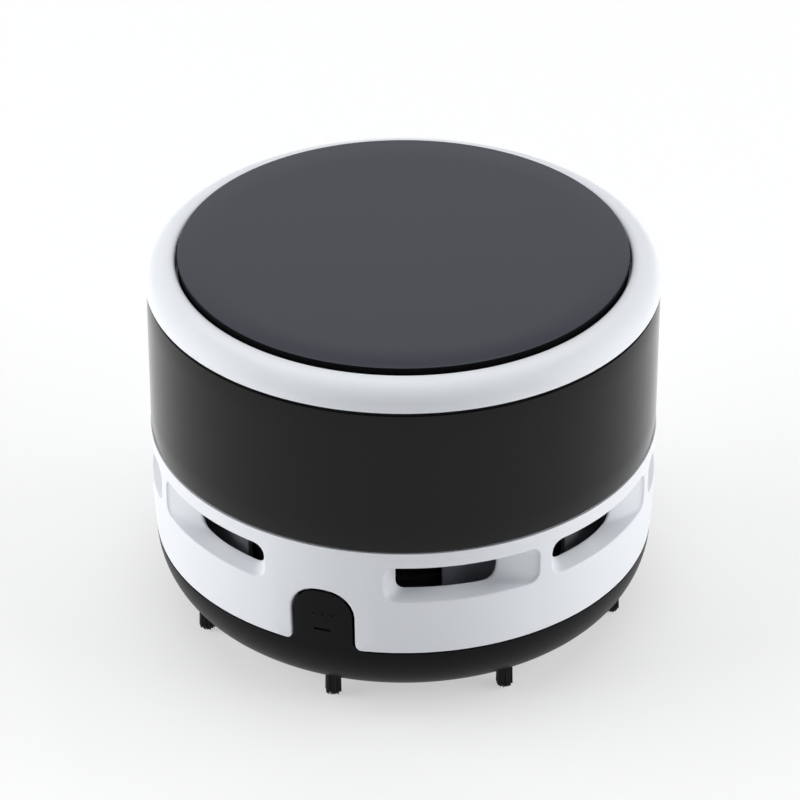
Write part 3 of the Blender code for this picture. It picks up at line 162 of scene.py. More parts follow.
paleFloor = {
    "size": 3.0,
    "squares": 8,
    "colour": (0.93, 0.93, 0.93, 1),
    "roughness": 0.9,
    "lift": 0.5,  # share of plain white that the eye and the reflections see
    "plain": (0.30, 1.10),  # distances between which it goes over to plain white
}


def floorMaterial():
    material = bpy.data.materials.new("paleFloor")
    material.use_nodes = True
    tree = material.node_tree
    link = tree.links.new
    shader = tree.nodes["Principled BSDF"]
    setInputs(shader, {"Base Color": paleFloor["colour"], "Roughness": paleFloor["roughness"]})

    # Plain white for the eye and in gloss, and more of it further out
    path = addNode(tree, "ShaderNodeLightPath")
    seen = addNode(tree, "ShaderNodeMath", operation="MAXIMUM")
    link(path.outputs["Is Camera Ray"], seen.inputs[0])
    link(path.outputs["Is Glossy Ray"], seen.inputs[1])
    place = addNode(tree, "ShaderNodeTexCoord")
    reach = addNode(tree, "ShaderNodeVectorMath", operation="LENGTH")
    link(place.outputs["Object"], reach.inputs[0])
    fade = addNode(tree, "ShaderNodeMapRange", interpolation_type="SMOOTHSTEP")
    near, far = paleFloor["plain"]
    setInputs(fade, {"From Min": near, "From Max": far, "To Min": paleFloor["lift"]})
    link(reach.outputs["Value"], fade.inputs["Value"])
    lift = addNode(tree, "ShaderNodeMath", operation="MULTIPLY")
    link(seen.outputs[0], lift.inputs[0])
    link(fade.outputs["Result"], lift.inputs[1])
    white = addNode(tree, "ShaderNodeEmission")
    lifted = addNode(tree, "ShaderNodeMixShader")
    link(lift.outputs[0], lifted.inputs[0])
    link(shader.outputs[0], lifted.inputs[1])
    link(white.outputs[0], lifted.inputs[2])

    # Clear from below, so that the underside can be seen
    facing = addNode(tree, "ShaderNodeNewGeometry")
    clear = addNode(tree, "ShaderNodeBsdfTransparent")
    oneSided = addNode(tree, "ShaderNodeMixShader")
    link(facing.outputs["Backfacing"], oneSided.inputs[0])
    link(lifted.outputs[0], oneSided.inputs[1])
    link(clear.outputs[0], oneSided.inputs[2])
    link(oneSided.outputs[0], tree.nodes["Material Output"].inputs["Surface"])
    return material


def addFloor():
    bm = bmesh.new()
    count = paleFloor["squares"]
    bmesh.ops.create_grid(bm, x_segments=count, y_segments=count, size=paleFloor["size"])
    mesh = bpy.data.meshes.new("floor")
    bm.to_mesh(mesh)
    bm.free()
    mesh.materials.append(floorMaterial())
    floor = bpy.data.objects.new("floor", mesh)
    bpy.context.scene.collection.objects.link(floor)


# Materials: fine mottling and grain come from one shared group
skinNoise = {"mottling": 38.0, "mottlingDetail": 3.0, "grainDetail": 2.0}


def buildMouldedGroup():
    group = bpy.data.node_groups.new("mouldedSkin", "ShaderNodeTree")
    inputs = (
        ("Shade", "Float", 0.03),
        ("Grain Size", "Float", 900.0),
        ("Sheen Spread", "Float", 0.05),
        ("Colour", "Color", (0.5, 0.5, 0.5, 1)),
        ("Base Roughness", "Float", 0.4),
    )
    for name, kind, usual in inputs:
        socket = group.interface.new_socket(name, in_out="INPUT", socket_type="NodeSocket" + kind)
        socket.default_value = usual
    for name, kind in (("Colour", "Color"), ("Roughness", "Float"), ("Height", "Float")):
        group.interface.new_socket(name, in_out="OUTPUT", socket_type="NodeSocket" + kind)
    link = group.links.new
    enter = addNode(group, "NodeGroupInput")
    leave = addNode(group, "NodeGroupOutput")
    place = addNode(group, "ShaderNodeTexCoord")
    broad = addNode(group, "ShaderNodeTexNoise")
    setInputs(broad, {"Scale": skinNoise["mottling"], "Detail": skinNoise["mottlingDetail"]})
    fine = addNode(group, "ShaderNodeTexNoise")
    setInputs(fine, {"Detail": skinNoise["grainDetail"]})
    link(place.outputs["Object"], broad.inputs["Vector"])
    link(place.outputs["Object"], fine.inputs["Vector"])
    link(enter.outputs["Grain Size"], fine.inputs["Scale"])
    link(fine.outputs["Fac"], leave.inputs["Height"])
    centred = addNode(group, "ShaderNodeMath", operation="SUBTRACT")
    centred.inputs[1].default_value = 0.5
    link(broad.outputs["Fac"], centred.inputs[0])
    swing = addNode(group, "ShaderNodeMath", operation="MULTIPLY_ADD")
    swing.inputs[2].default_value = 1.0
    link(centred.outputs[0], swing.inputs[0])
    link(enter.outputs["Shade"], swing.inputs[1])
    tint = addNode(group, "ShaderNodeVectorMath", operation="SCALE")
    link(enter.outputs["Colour"], tint.inputs[0])
    link(swing.outputs[0], tint.inputs["Scale"])
    link(tint.outputs[0], leave.inputs["Colour"])
    gloss = addNode(group, "ShaderNodeMath", operation="MULTIPLY_ADD")
    link(centred.outputs[0], gloss.inputs[0])
    link(enter.outputs["Sheen Spread"], gloss.inputs[1])
    link(enter.outputs["Base Roughness"], gloss.inputs[2])
    link(gloss.outputs[0], leave.inputs["Roughness"])
    return group


plainLook = {
    "shade": 0.06,
    "grain": 1400.0,
    "spread": 0.08,
    "bump": 0.06,
    "depth": 0.00005,
    "metallic": 0.0,
    "ior": 1.47,
    "level": 0.5,
}
looks = {  # what differs from the plain look; level is the strength of the gloss
    "white_plastic": {"colour": (0.77, 0.79, 0.82), "roughness": 0.34, "shade": 0.02, "bump": 0.03},
    "gloss_black": {
        "colour": (0.0010, 0.0010, 0.0013), "roughness": 0.15, "level": 0.25, "bump": 0.015
    },
    "satin_black": {
        "colour": (0.026, 0.030, 0.040), "roughness": 0.24, "level": 0.45, "bump": 0.05
    },
    "base_black": {
        "colour": (0.0050, 0.0052, 0.0061), "roughness": 0.38, "level": 0.095, "bump": 0.10
    },
    # painted shade: a near-black for the disc's side, standing in for the shade of the gap round it
    "paintedGapShade": {"colour": (0.0025, 0.0025, 0.003), "roughness": 0.50, "level": 0.06},
    "bristle_nylon": {"colour": (0.006, 0.006, 0.0065), "roughness": 0.45, "level": 0.25},
    "shroud_grey": {"colour": (0.22, 0.23, 0.25), "roughness": 0.40, "bump": 0.10},
    "inner_black": {
        "colour": (0.014, 0.014, 0.015), "roughness": 0.46, "level": 0.35, "bump": 0.12
    },
    "filter_cloth": {"colour": (0.62, 0.64, 0.66), "roughness": 0.80, "shade": 0.20, "bump": 0.5},
    "steel": {"colour": (0.55, 0.56, 0.58), "roughness": 0.30, "metallic": 1.0, "bump": 0.05},
    "brass": {"colour": (0.72, 0.52, 0.22), "roughness": 0.33, "metallic": 1.0, "bump": 0.05},
    "cell_sleeve": {"colour": (0.045, 0.16, 0.27), "roughness": 0.30, "bump": 0.03},
    "cellBand": {"colour": (0.52, 0.30, 0.12), "roughness": 0.26, "metallic": 0.8, "bump": 0.03},
    "red_lead": {"colour": (0.45, 0.02, 0.02), "roughness": 0.40, "bump": 0.03},
    "black_lead": {"colour": (0.012, 0.012, 0.013), "roughness": 0.40, "bump": 0.03},
}


def plasticMaterial(name, look, group):
    look = {**plainLook, **look}
    material = bpy.data.materials.new(name)
    material.use_nodes = True
    material.diffuse_color = (*look["colour"], 1)
    tree = material.node_tree
    shader = tree.nodes["Principled BSDF"]
    setInputs(shader, {
        "Metallic": look["metallic"],
        "IOR": look["ior"],
        "Specular IOR Level": look["level"],
    })
    skin = addNode(tree, "ShaderNodeGroup", node_tree=group)
    setInputs(skin, {
        "Colour": (*look["colour"], 1),
        "Base Roughness": look["roughness"],
        "Shade": look["shade"],
        "Grain Size": look["grain"],
        "Sheen Spread": look["spread"],
    })
    bump = addNode(tree, "ShaderNodeBump")
    setInputs(bump, {"Strength": look["bump"], "Distance": look["depth"]})
    tree.links.new(skin.outputs["Colour"], shader.inputs["Base Color"])
    tree.links.new(skin.outputs["Roughness"], shader.inputs["Roughness"])
    tree.links.new(skin.outputs["Height"], bump.inputs["Height"])
    tree.links.new(bump.outputs["Normal"], shader.inputs["Normal"])
    return material


threads = {
    "wave": {"Scale": 420.0, "Distortion": 0.6, "Detail": 1.0},
    "relief": {"Strength": 0.8, "Distance": 0.2 * mm},
    "shadow": (0.16, 0.17, 0.18, 1),
}


def weave(material):
    # Crossing threads, drawn by two waves, over the cloth's mottling
    tree = material.node_tree
    place = addNode(tree, "ShaderNodeTexCoord")
    cross = addNode(tree, "ShaderNodeMath", operation="MULTIPLY")
    for index, direction in enumerate(("X", "Y")):
        wave = addNode(tree, "ShaderNodeTexWave", bands_direction=direction)
        setInputs(wave, threads["wave"])
        tree.links.new(place.outputs["Object"], wave.inputs["Vector"])
        tree.links.new(wave.outputs["Fac"], cross.inputs[index])
    bump = addNode(tree, "ShaderNodeBump")
    setInputs(bump, threads["relief"])
    shader = tree.nodes["Principled BSDF"]
    skin = shader.inputs["Base Color"].links[0].from_socket
    shade = addNode(tree, "ShaderNodeMix", data_type="RGBA")
    shade.inputs[colourMix["first"]].default_value = threads["shadow"]
    tree.links.new(cross.outputs[0], bump.inputs["Height"])
    tree.links.new(cross.outputs[0], shade.inputs[0])
    tree.links.new(skin, shade.inputs[colourMix["second"]])
    tree.links.new(shade.outputs[colourMix["result"]], shader.inputs["Base Color"])
    tree.links.new(bump.outputs["Normal"], shader.inputs["Normal"])


addCamera()
addBackdrop()
addLamps()
addFloor()
skinGroup = buildMouldedGroup()
materials = {name: plasticMaterial(name, look, skinGroup) for name, look in looks.items()}
weave(materials["filter_cloth"])
slotOf = {row["node"]: row["material_slot"] for row in frame["record"]["subparts"]}
for node, item in frame["nodes"].items():
    item.data.materials.clear()
    item.data.materials.append(materials[slotOf[node]])
print("camera, studio and materials made")

# Outer form that several pieces share
form = {
    "columns": 240,
    "shellRadius": 43.0 * mm,
    "shellInner": 40.3 * mm,
    "tuck": 0.5 * mm,  # how far the shell draws in at its foot
    "tuckHeight": 13.0 * mm,
    "tuckPower": 2.3,
    "slack": 0.1 * mm,  # how near a wall a point counts as on it
}
rounding = {"segments": 3, "angle": 50}
column = math.tau / form["columns"]


def shellRadius(z):
    share = min(max((levels["shellFoot"] + form["tuckHeight"] - z) / form["tuckHeight"], 0.0), 1.0)
    return form["shellRadius"] - form["tuck"] * share ** form["tuckPower"]


def onWall(angle, z, radius):  # the angle counts from the front, towards +X
    return Vector((radius * math.sin(angle), -radius * math.cos(angle), z))


def steps(start, end, count):
    return [start + (end - start) * index / count for index in range(count + 1)]


def between(start, end, count):  # points along a straight line, both ends with them
    return list(zip(steps(start[0], end[0], count), steps(start[1], end[1], count)))


def arc(centre, radii, first, last, count):  # part of an ellipse, its angles in degrees
    turns = [math.radians(angle) for angle in steps(first, last, count)]
    return [
        (centre[0] + radii[0] * math.cos(turn), centre[1] + radii[1] * math.sin(turn))
        for turn in turns
    ]


def quarter(x, z, radius, first, count=5):  # a rounded corner, from the angle it starts at
    return arc((x, z), (radius, radius), first, first + 90, count)


def joined(arcs, straights):  # four corners and the stepped straights between them
    places = []
    for index, bend in enumerate(arcs):
        following = arcs[(index + 1) % len(arcs)]
        places += bend + between(bend[-1], following[0], straights[index % 2])[1:-1]
    return places


def mixed(first, second, share):
    return [a + (b - a) * share for a, b in zip(first, second)]


def lathe(profile, closed=True):
    # Turns a profile of (radius, height) points about the upright axis
    bm = bmesh.new()
    verts = [bm.verts.new((0, -radius, z)) for radius, z in profile]
    ends = verts[1:] + verts[:1] if closed else verts[1:]
    edges = [bm.edges.new(pair) for pair in zip(verts, ends)]
    count = form["columns"]
    bmesh.ops.spin(
        bm, geom=verts + edges, axis=(0, 0, 1), angle=math.tau, steps=count, use_merge=True
    )
    bmesh.ops.remove_doubles(bm, verts=bm.verts, dist=touch / 10)
    return bm


def pushRing(bm, ring, places, closed=True):
    # Extrudes a ring of edges to new places and gives the new ring
    ends = ring[1:] + ring[:1] if closed else ring[1:]
    edges = [bm.edges.get(pair) for pair in zip(ring, ends)]
    made = bmesh.ops.extrude_edge_only(bm, edges=edges)["geom"]
    fresh = {tuple(item.co): item for item in made if isinstance(item, bmesh.types.BMVert)}
    ring = [fresh[tuple(vert.co)] for vert in ring]
    for vert, place in zip(ring, places):
        vert.co = place
    return ring


def sector(bm, radii, heights, middle, span, count):
    # Adds a curved block: a stretch of a ring about the upright axis
    (inner, outer), (low, high) = radii, heights
    corners = [(inner, low), (outer, low), (outer, high), (inner, high)]
    verts = [bm.verts.new(onWall(middle - span / 2, z, radius)) for radius, z in corners]
    bmesh.ops.spin(bm, geom=[bm.faces.new(verts)], axis=(0, 0, 1), angle=span, steps=count)


def addPiece(name, bm, slot, body=None, nodes=(), bevel=0.0, sharp=40.0):
    bmesh.ops.recalc_face_normals(bm, faces=bm.faces)
    mesh = bpy.data.meshes.new(name)
    bm.to_mesh(mesh)
    bm.free()
    mesh.shade_smooth()
    mesh.set_sharp_from_angle(angle=math.radians(sharp))
    mesh.materials.append(materials[slot])
    piece = bpy.data.objects.new(name, mesh)
    bpy.context.scene.collection.objects.link(piece)
    if bevel:
        edge = piece.modifiers.new("edge", "BEVEL")
        edge.width = bevel
        edge.segments = rounding["segments"]
        edge.limit_method = "ANGLE"
        edge.angle_limit = math.radians(rounding["angle"])
        edge.harden_normals = True
    if body:
        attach(piece, body)
    if nodes:
        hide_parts(*nodes)
    return piece


# Turned walls are opened cell by cell, found by wall, column and row
def wallGrid(bm, rows, inner):
    grid = {}
    for vert in bm.verts:
        reach = math.hypot(*vert.co.xy)
        row = min(range(len(rows)), key=lambda index: abs(rows[index] - vert.co.z))
        if abs(vert.co.z - rows[row]) < touch and reach > inner - form["slack"]:
            wall = "in" if reach < inner + form["slack"] else "out"
            turn = round(math.atan2(vert.co.x, -vert.co.y) / column)
            grid[wall, turn % form["columns"], row] = vert
    return grid


def onGrid(grid, wall, cells, side=1):
    return [grid[wall, side * turn % form["columns"], row] for turn, row in cells]


def clearCell(bm, grid, turns, rows, side=1):
    cells = [(turn, row) for turn in turns for row in rows]
    gone = onGrid(grid, "out", cells, side) + onGrid(grid, "in", cells, side)
    bmesh.ops.delete(bm, geom=gone, context="VERTS")


def outletCells(bm, grid, start, count, low, high):
    # Clears a cell for each outlet and gives the rings left on both walls, from the near foot
    for side in (1, -1):
        for index in range(outlet["perSide"]):
            first = start + index * outlet["cellColumns"]
            last = first + count
            clearCell(bm, grid, range(first + 1, last), range(low + 1, high), side)
            ring = [(turn, low) for turn in range(first, last)]
            ring += [(last, row) for row in range(low, high)]
            ring += [(turn, high) for turn in range(last, first, -1)]
            ring += [(first, row) for row in range(high, low, -1)]
            yield side, index, onGrid(grid, "out", ring, side), onGrid(grid, "in", ring, side)


# White vent shell: a turned wall in which eight outlets and the tab's notch are opened
shell = {
    "lipInner": 39.0 * mm,
    "lipOuter": 40.2 * mm,
    "shelfInner": 35.0 * mm,
    "shelfRise": 0.55 * mm,
    "shelfDepth": 1.0 * mm,
    "bevel": 0.10 * mm,
}
outlet = {
    "perSide": 4,
    "firstColumn": 8,
    "cellColumns": 26,
    "footRows": 6,
    "cellRows": 6,
    "cellLow": 22.4 * mm,
    "cellHigh": 31.4 * mm,
    "cornerSteps": 4,
    "firstAngle": math.radians(13.9),
    "pitch": math.radians(39.0),
    "span": math.radians(35.6),
    "sill": 10.6 * mm,
    "height": 6.65 * mm,
    "corners": (2.2 * mm, 1.9 * mm, 1.6 * mm, 2.1 * mm),  # near foot, far foot, far head, near head
    "slotNear": math.radians(2.4),
    "slotFar": math.radians(8.5),
    "slotSill": 1.06 * mm,
    "slotHead": 0.30 * mm,
    "slotCorners": (1.5 * mm, 2.7 * mm, 0.7 * mm, 0.9 * mm),
    "slotEdge": 0.25 * mm,
    "rampStart": 0.35,  # share of the mouth's span where the scoop begins to deepen
    "rampEnd": 0.74,
    "rampGrowth": 0.42,  # how much deeper the scoop is at its far end
    "rampDrop": 0.9 * mm,
    # How far each loop of the rim stands outside the mouth, and how deep, in millimetres
    "rimLoops": ((0.34, 0.0), (0.20, 0.012), (0.10, 0.04), (0.03, 0.09), (0.0, 0.16)),
    # How far each loop of the scoop has gone from the mouth to the slot, and how deep
    "scoopLoops": (
        (0.05, 0.30), (0.12, 0.48), (0.25, 0.78), (0.45, 1.22), (0.65, 1.68), (0.85, 2.18),
        (0.95, 2.45), (0.99, 2.57), (1.0, 2.64),
    ),
}
notch = {
    "halfWidth": 5.52 * mm,
    "top": 24.35 * mm,
    "corner": 4.9 * mm,
    "flare": 1.1 * mm,
    "columns": 8,
    "cellTop": 26.9 * mm,
    "cornerSteps": 6,
    "headSteps": 10,
    "innerGrow": 0.1 * mm,
    # How far each loop of the rim stands outside the notch, and how deep, in millimetres
    "rimLoops": ((0.45, 0.0), (0.22, 0.03), (0.07, 0.12), (0.0, 0.30), (0.0, 2.5)),
}


def roundedRing(first, last, low, high, corners):
    # Places (angle, height) round a cornered opening, from the middle of a corner
    radius, count = form["shellRadius"], outlet["cornerSteps"]
    nearFoot, farFoot, farHead, nearHead = corners
    centres = (
        (first + nearFoot / radius, low + nearFoot),
        (last - farFoot / radius, low + farFoot),
        (last - farHead / radius, high - farHead),
        (first + nearHead / radius, high - nearHead),
    )
    arcs = [
        arc(centre, (size / radius, size), start, start + 90, count)
        for centre, size, start in zip(centres, corners, (180, 270, 0, 90))
    ]
    places = joined(arcs, (outlet["cellColumns"] - count, outlet["cellRows"] - count))
    return places[count // 2:] + places[:count // 2]


def rampShare(angle, mouth):
    along = (angle - mouth[0]) / (mouth[1] - mouth[0])
    share = (along - outlet["rampStart"]) / (outlet["rampEnd"] - outlet["rampStart"])
    share = min(max(share, 0.0), 1.0)
    return share * share * (3 - 2 * share)


def openOutlet(bm, side, index, outer, inside):
    # Loops from the skin over a soft rim, down the scoop to the slot and out on the inner wall
    radius = form["shellRadius"]
    first = outlet["firstAngle"] + index * outlet["pitch"]
    last = first + outlet["span"]
    low = levels["trayRim"] + seam / 2 + outlet["sill"]
    high = low + outlet["height"]
    mouth = (first, last, low, high)
    slotEnds = (first + outlet["slotNear"], last - outlet["slotFar"])
    slot = (*slotEnds, low + outlet["slotSill"], high - outlet["slotHead"])
    ring = outer
    for grow, depth in outlet["rimLoops"]:
        out, turn = grow * mm, grow * mm / radius
        corners = [corner + out for corner in outlet["corners"]]
        spread = roundedRing(first - turn, last + turn, low - out, high + out, corners)
        places = [onWall(side * angle, z, shellRadius(z) - depth * mm) for angle, z in spread]
        ring = pushRing(bm, ring, places)
    for share, depth in outlet["scoopLoops"]:
        corners = mixed(outlet["corners"], outlet["slotCorners"], share)
        places = []
        for angle, z in roundedRing(*mixed(mouth, slot, share), corners):
            ramp = rampShare(angle, mouth)
            reach = radius - depth * mm * (1 + outlet["rampGrowth"] * ramp)
            places.append(onWall(side * angle, z - outlet["rampDrop"] * ramp * share, reach))
        ring = pushRing(bm, ring, places)
    inward = [Vector((-vert.co.x, -vert.co.y, 0)).normalized() for vert in ring]
    edge = [vert.co + outlet["slotEdge"] * way for vert, way in zip(ring, inward)]
    ring = pushRing(bm, ring, edge)

    # The back of the opening lies midway between the mouth and the slot
    back = mixed(mouth, slot, 0.5)
    low, high = back[2:]
    places = []
    for angle, z in roundedRing(*back, mixed(outlet["corners"], outlet["slotCorners"], 0.5)):
        drop = outlet["rampDrop"] * rampShare(angle, mouth) * (high - z) / (high - low)
        places.append(onWall(side * angle, z - drop, form["shellInner"]))
    ring = pushRing(bm, ring, places)
    pushRing(bm, ring, [vert.co.copy() for vert in inside])


def archChain(grow):
    # The notch seen from the front: foot, flared root, upright side, round top, and down again
    foot = levels["shellFoot"]
    half, top = notch["halfWidth"] + grow, notch["top"] + grow
    corner, flare = notch["corner"] + grow, notch["flare"] - grow
    root = arc((half + flare, foot + flare), (flare, flare), 270, 180, 3)
    left = [(-across, up) for across, up in root]
    left += [(-half, up) for up in steps(foot + flare, top - corner, 3)[1:-1]]
    left += reversed(quarter(corner - half, top - corner, corner, 90, notch["cornerSteps"]))
    flat = steps(corner - half, half - corner, notch["headSteps"])[1:-1]
    flat = [(across, top) for across in flat]
    return left + flat + [(-across, up) for across, up in reversed(left)]


def openNotch(bm, grid, rows):
    # The skin, the foot and the inner wall open, then one rim joins them
    inner, count = form["shellInner"], notch["columns"]
    top = min(range(len(rows)), key=lambda index: abs(rows[index] - notch["cellTop"]))
    clearCell(bm, grid, range(1 - count, count), range(top))
    chain = [(-count, row) for row in range(top)]
    chain += [(turn, top) for turn in range(-count, count)]
    chain += [(count, row) for row in range(top, -1, -1)]
    ring, inside = onGrid(grid, "out", chain), onGrid(grid, "in", chain)
    for grow, depth in notch["rimLoops"]:
        places = [
            onWall(across / form["shellRadius"], up, shellRadius(up) - depth * mm)
            for across, up in archChain(grow * mm)
        ]
        ring = pushRing(bm, ring, places, closed=False)
    places = [onWall(across / inner, up, inner) for across, up in archChain(notch["innerGrow"])]
    ring = pushRing(bm, ring, places, closed=False)
    pushRing(bm, ring, [vert.co.copy() for vert in inside], closed=False)


def addVentShell():
    shoulder = levels["bandFoot"] - seam
    rows = steps(levels["shellFoot"], outlet["cellLow"], outlet["footRows"])
    rows += steps(outlet["cellLow"], outlet["cellHigh"], outlet["cellRows"])[1:]
    shelfTop = shoulder + shell["shelfRise"]
    profile = [(shellRadius(z), z) for z in rows]
    profile += [
        (form["shellRadius"], shoulder),
        (shell["lipOuter"], shoulder),
        (shell["lipOuter"], levels["lipTop"]),
        (shell["lipInner"], levels["lipTop"]),
        (shell["lipInner"], shelfTop),
        (shell["shelfInner"], shelfTop),
        (shell["shelfInner"], shelfTop - shell["shelfDepth"]),
    ]
    profile += [(form["shellInner"], z) for z in reversed(rows)]
    bm = lathe(profile)
    grid = wallGrid(bm, rows, form["shellInner"])
    columns = (outlet["firstColumn"], outlet["cellColumns"])
    low, high = outlet["footRows"], outlet["footRows"] + outlet["cellRows"]
    for side, index, outer, inside in outletCells(bm, grid, *columns, low, high):
        openOutlet(bm, side, index, outer, inside)
    openNotch(bm, grid, rows)
    bmesh.ops.remove_doubles(bm, verts=bm.verts, dist=touch)
    loose = [vert for vert in bm.verts if not vert.link_faces]
    bmesh.ops.delete(bm, geom=loose, context="VERTS")
    bmesh.ops.holes_fill(bm, edges=[edge for edge in bm.edges if edge.is_boundary], sides=0)
    addPiece("ventShell", bm, "white_plastic", "housing", ["vent_shell"], bevel=shell["bevel"])


# Black base: a turned bowl whose front rim rises as the tab's tongue
base = {
    "foot": 36.0 * mm,
    "hub": 20.0 * mm,
    "roundness": 1.8,
    "sideSteps": 16,
    "landOuter": 38.4 * mm,
    "landInner": 33.7 * mm,
    "landTop": 8.3 * mm,
    "floorTop": 5.2 * mm,
    "bevel": 0.22 * mm,
}
tongue = {
    "columns": 7,
    "half": 5.18 * mm,
    "top": 24.05 * mm,
    "corner": 4.6 * mm,
    "flare": 1.5 * mm,
    "depth": 2.0 * mm,
    "cornerSteps": 7,
}
mark = {  # the short bar sunk into the tongue's face
    "foot": 16.1 * mm,
    "height": 0.55 * mm,
    "depth": 0.30 * mm,
    "columns": 2.2,
    "frame": 0.06 * mm,
    "slope": 0.05 * mm,
}
spigot = {  # stands in the shell
    "inner": 38.4 * mm,
    "outer": 40.0 * mm,
    "tip": 39.6 * mm,
    "below": 2.0 * mm,
    "above": 3.15 * mm,
    "lead": 0.5 * mm,
    "bevel": 0.15 * mm,
}


def tongueWidth(z):  # half the tongue's width at a height
    corner, flare = tongue["corner"], tongue["flare"]
    rise = z - levels["shellFoot"]
    if rise < flare:
        return tongue["half"] + flare - math.sqrt(max(flare**2 - (flare - rise) ** 2, 0))
    over = z - (tongue["top"] - corner)
    if over > 0:
        return tongue["half"] - corner + math.sqrt(max(corner**2 - over**2, 0))
    return tongue["half"]


def tongueHeights():
    corner = tongue["top"] - tongue["corner"]
    heights = [
        levels["shellFoot"] + tongue["flare"] * (1 - math.cos(turn))
        for turn in steps(0, math.pi / 2, 4)
    ]
    heights += [mark["foot"], mark["foot"] + mark["height"]]
    heights += steps(heights[-1], corner, 4)[1:]
    rounds = steps(0, math.pi / 2, tongue["cornerSteps"])[1:-1]
    heights += [corner + tongue["corner"] * math.sin(turn) for turn in rounds]
    return heights + [tongue["top"]]


def raiseTongue(bm, outer):
    # Pushes the front stretch of the rim up, level by level
    face = outer - tongue["depth"] / 2
    reach = tongue["columns"] * column
    top = []
    for item in bm.faces:
        middle = item.calc_center_median()
        level = all(abs(vert.co.z - levels["trayRim"]) < touch for vert in item.verts)
        front = abs(math.atan2(middle.x, -middle.y)) < reach
        if level and front and math.hypot(*middle.xy) > outer - tongue["depth"]:
            top.append(item)
    width = None
    for z in tongueHeights():
        made = bmesh.ops.extrude_face_region(bm, geom=top)["geom"]
        bmesh.ops.delete(bm, geom=top, context="FACES")
        top = [item for item in made if isinstance(item, bmesh.types.BMFace)]
        for vert in (item for item in made if isinstance(item, bmesh.types.BMVert)):
            turn = round(math.atan2(vert.co.x, -vert.co.y) / column)
            share = vert.co.x / width if width else turn / tongue["columns"]
            depth = 0.0 if math.hypot(*vert.co.xy) > face else tongue["depth"]
            across = share * tongueWidth(z)
            vert.co = onWall(across / form["shellRadius"], z, shellRadius(z) - depth)
        width = max(vert.co.x for item in top for vert in item.verts)


def pressMark(bm, outer):
    low, high = mark["foot"], mark["foot"] + mark["height"]
    half = mark["columns"] * tongue["half"] / tongue["columns"]
    face = outer - tongue["depth"] / 2

    def marked(vert):
        level = low - touch < vert.co.z < high + touch
        return level and abs(vert.co.x) < half and math.hypot(*vert.co.xy) > face

    faces = [item for item in bm.faces if all(marked(vert) for vert in item.verts)]
    bmesh.ops.recalc_face_normals(bm, faces=bm.faces)
    for thickness, depth in ((mark["frame"], 0.0), (mark["slope"], -mark["depth"])):
        bmesh.ops.inset_region(
            bm, faces=faces, thickness=thickness, depth=depth, use_even_offset=True
        )


def addTray():
    rim, under = levels["trayRim"], levels["underside"]
    outer = shellRadius(levels["shellFoot"])
    rise, bulge, power = rim - under, outer - base["foot"], 2 / base["roundness"]
    profile = [(base["hub"], under)]
    for turn in steps(0, math.pi / 2, base["sideSteps"])[:-1]:
        inset = bulge * (1 - math.sin(turn) ** power)
        profile.append((outer - inset, under + rise * (1 - math.cos(turn) ** power)))
    profile += [
        (outer, rim),
        (outer - tongue["depth"], rim),
        (base["landOuter"], rim),
        (base["landOuter"], base["landTop"]),
        (base["landInner"], base["landTop"]),
        (base["landInner"], base["floorTop"]),
        (base["hub"], base["floorTop"]),
    ]
    bm = lathe(profile)
    raiseTongue(bm, outer)
    pressMark(bm, outer)
    bowl = addPiece("trayBowl", bm, "base_black", bevel=base["bevel"])
    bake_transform(bowl)
    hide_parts("dust_tray", "release_tab")

    top = rim + spigot["above"]
    profile = [
        (spigot["inner"], rim - spigot["below"]),
        (spigot["outer"], rim - spigot["below"]),
        (spigot["outer"], top - spigot["lead"]),
        (spigot["tip"], top),
        (spigot["inner"], top),
    ]
    addPiece("traySpigot", lathe(profile), "base_black", "tray", bevel=spigot["bevel"])


# Three low pips over the mark on the tab
pip = {
    "pitch": 1.5 * mm,
    "height": 19.3 * mm,
    "sunk": 0.10 * mm,
    "radii": (0.42, 0.26, 0.36),
    "segments": (20, 12),
}


def addPips():
    bm = bmesh.new()
    squash = Matrix.Diagonal((*pip["radii"], 1.0))
    reach = shellRadius(pip["height"]) - pip["sunk"]
    across, up = pip["segments"]
    for index in (-1, 0, 1):
        place = onWall(index * pip["pitch"] / form["shellRadius"], pip["height"], reach)
        matrix = Matrix.Translation(place) @ squash
        bmesh.ops.create_uvsphere(bm, u_segments=across, v_segments=up, radius=mm, matrix=matrix)
    addPiece("tabPips", bm, "base_black", "tab")


# Latch: the tab's catch bar, the shell's keepers beside the notch, and the hook behind
latch = {
    "barOuter": 39.6 * mm,
    "barInner": 38.4 * mm,
    "barFoot": 17.4 * mm,
    "barHead": 18.6 * mm,
    "barSpan": math.radians(21.0),
    "neckInner": 38.7 * mm,
    "neckOuter": 41.2 * mm,
    "neckWidth": 8.5 * mm,
    "keeperInner": 39.85 * mm,
    "keeperOuter": 41.0 * mm,
    "keeperFoot": 16.1 * mm,
    "keeperHead": 17.1 * mm,
    "keeperSpan": math.radians(2.0),
    "keeperSteps": 4,
    "longSteps": 12,
    "hookInner": 39.2 * mm,
    "hookOuter": 40.55 * mm,
    "hookFoot": 14.9 * mm,
    "hookHead": 15.7 * mm,
    "hookSpan": math.radians(12.0),
    "bevel": 0.12 * mm,
}


def latchBlock(bm, name, middle, span):
    radii = (latch[name + "Inner"], latch[name + "Outer"])
    level = "bar" if name == "neck" else name  # the neck is as high as the bar it carries
    heights = (latch[level + "Foot"], latch[level + "Head"])
    count = latch["keeperSteps"] if name == "keeper" else latch["longSteps"]
    sector(bm, radii, heights, middle, span, count)


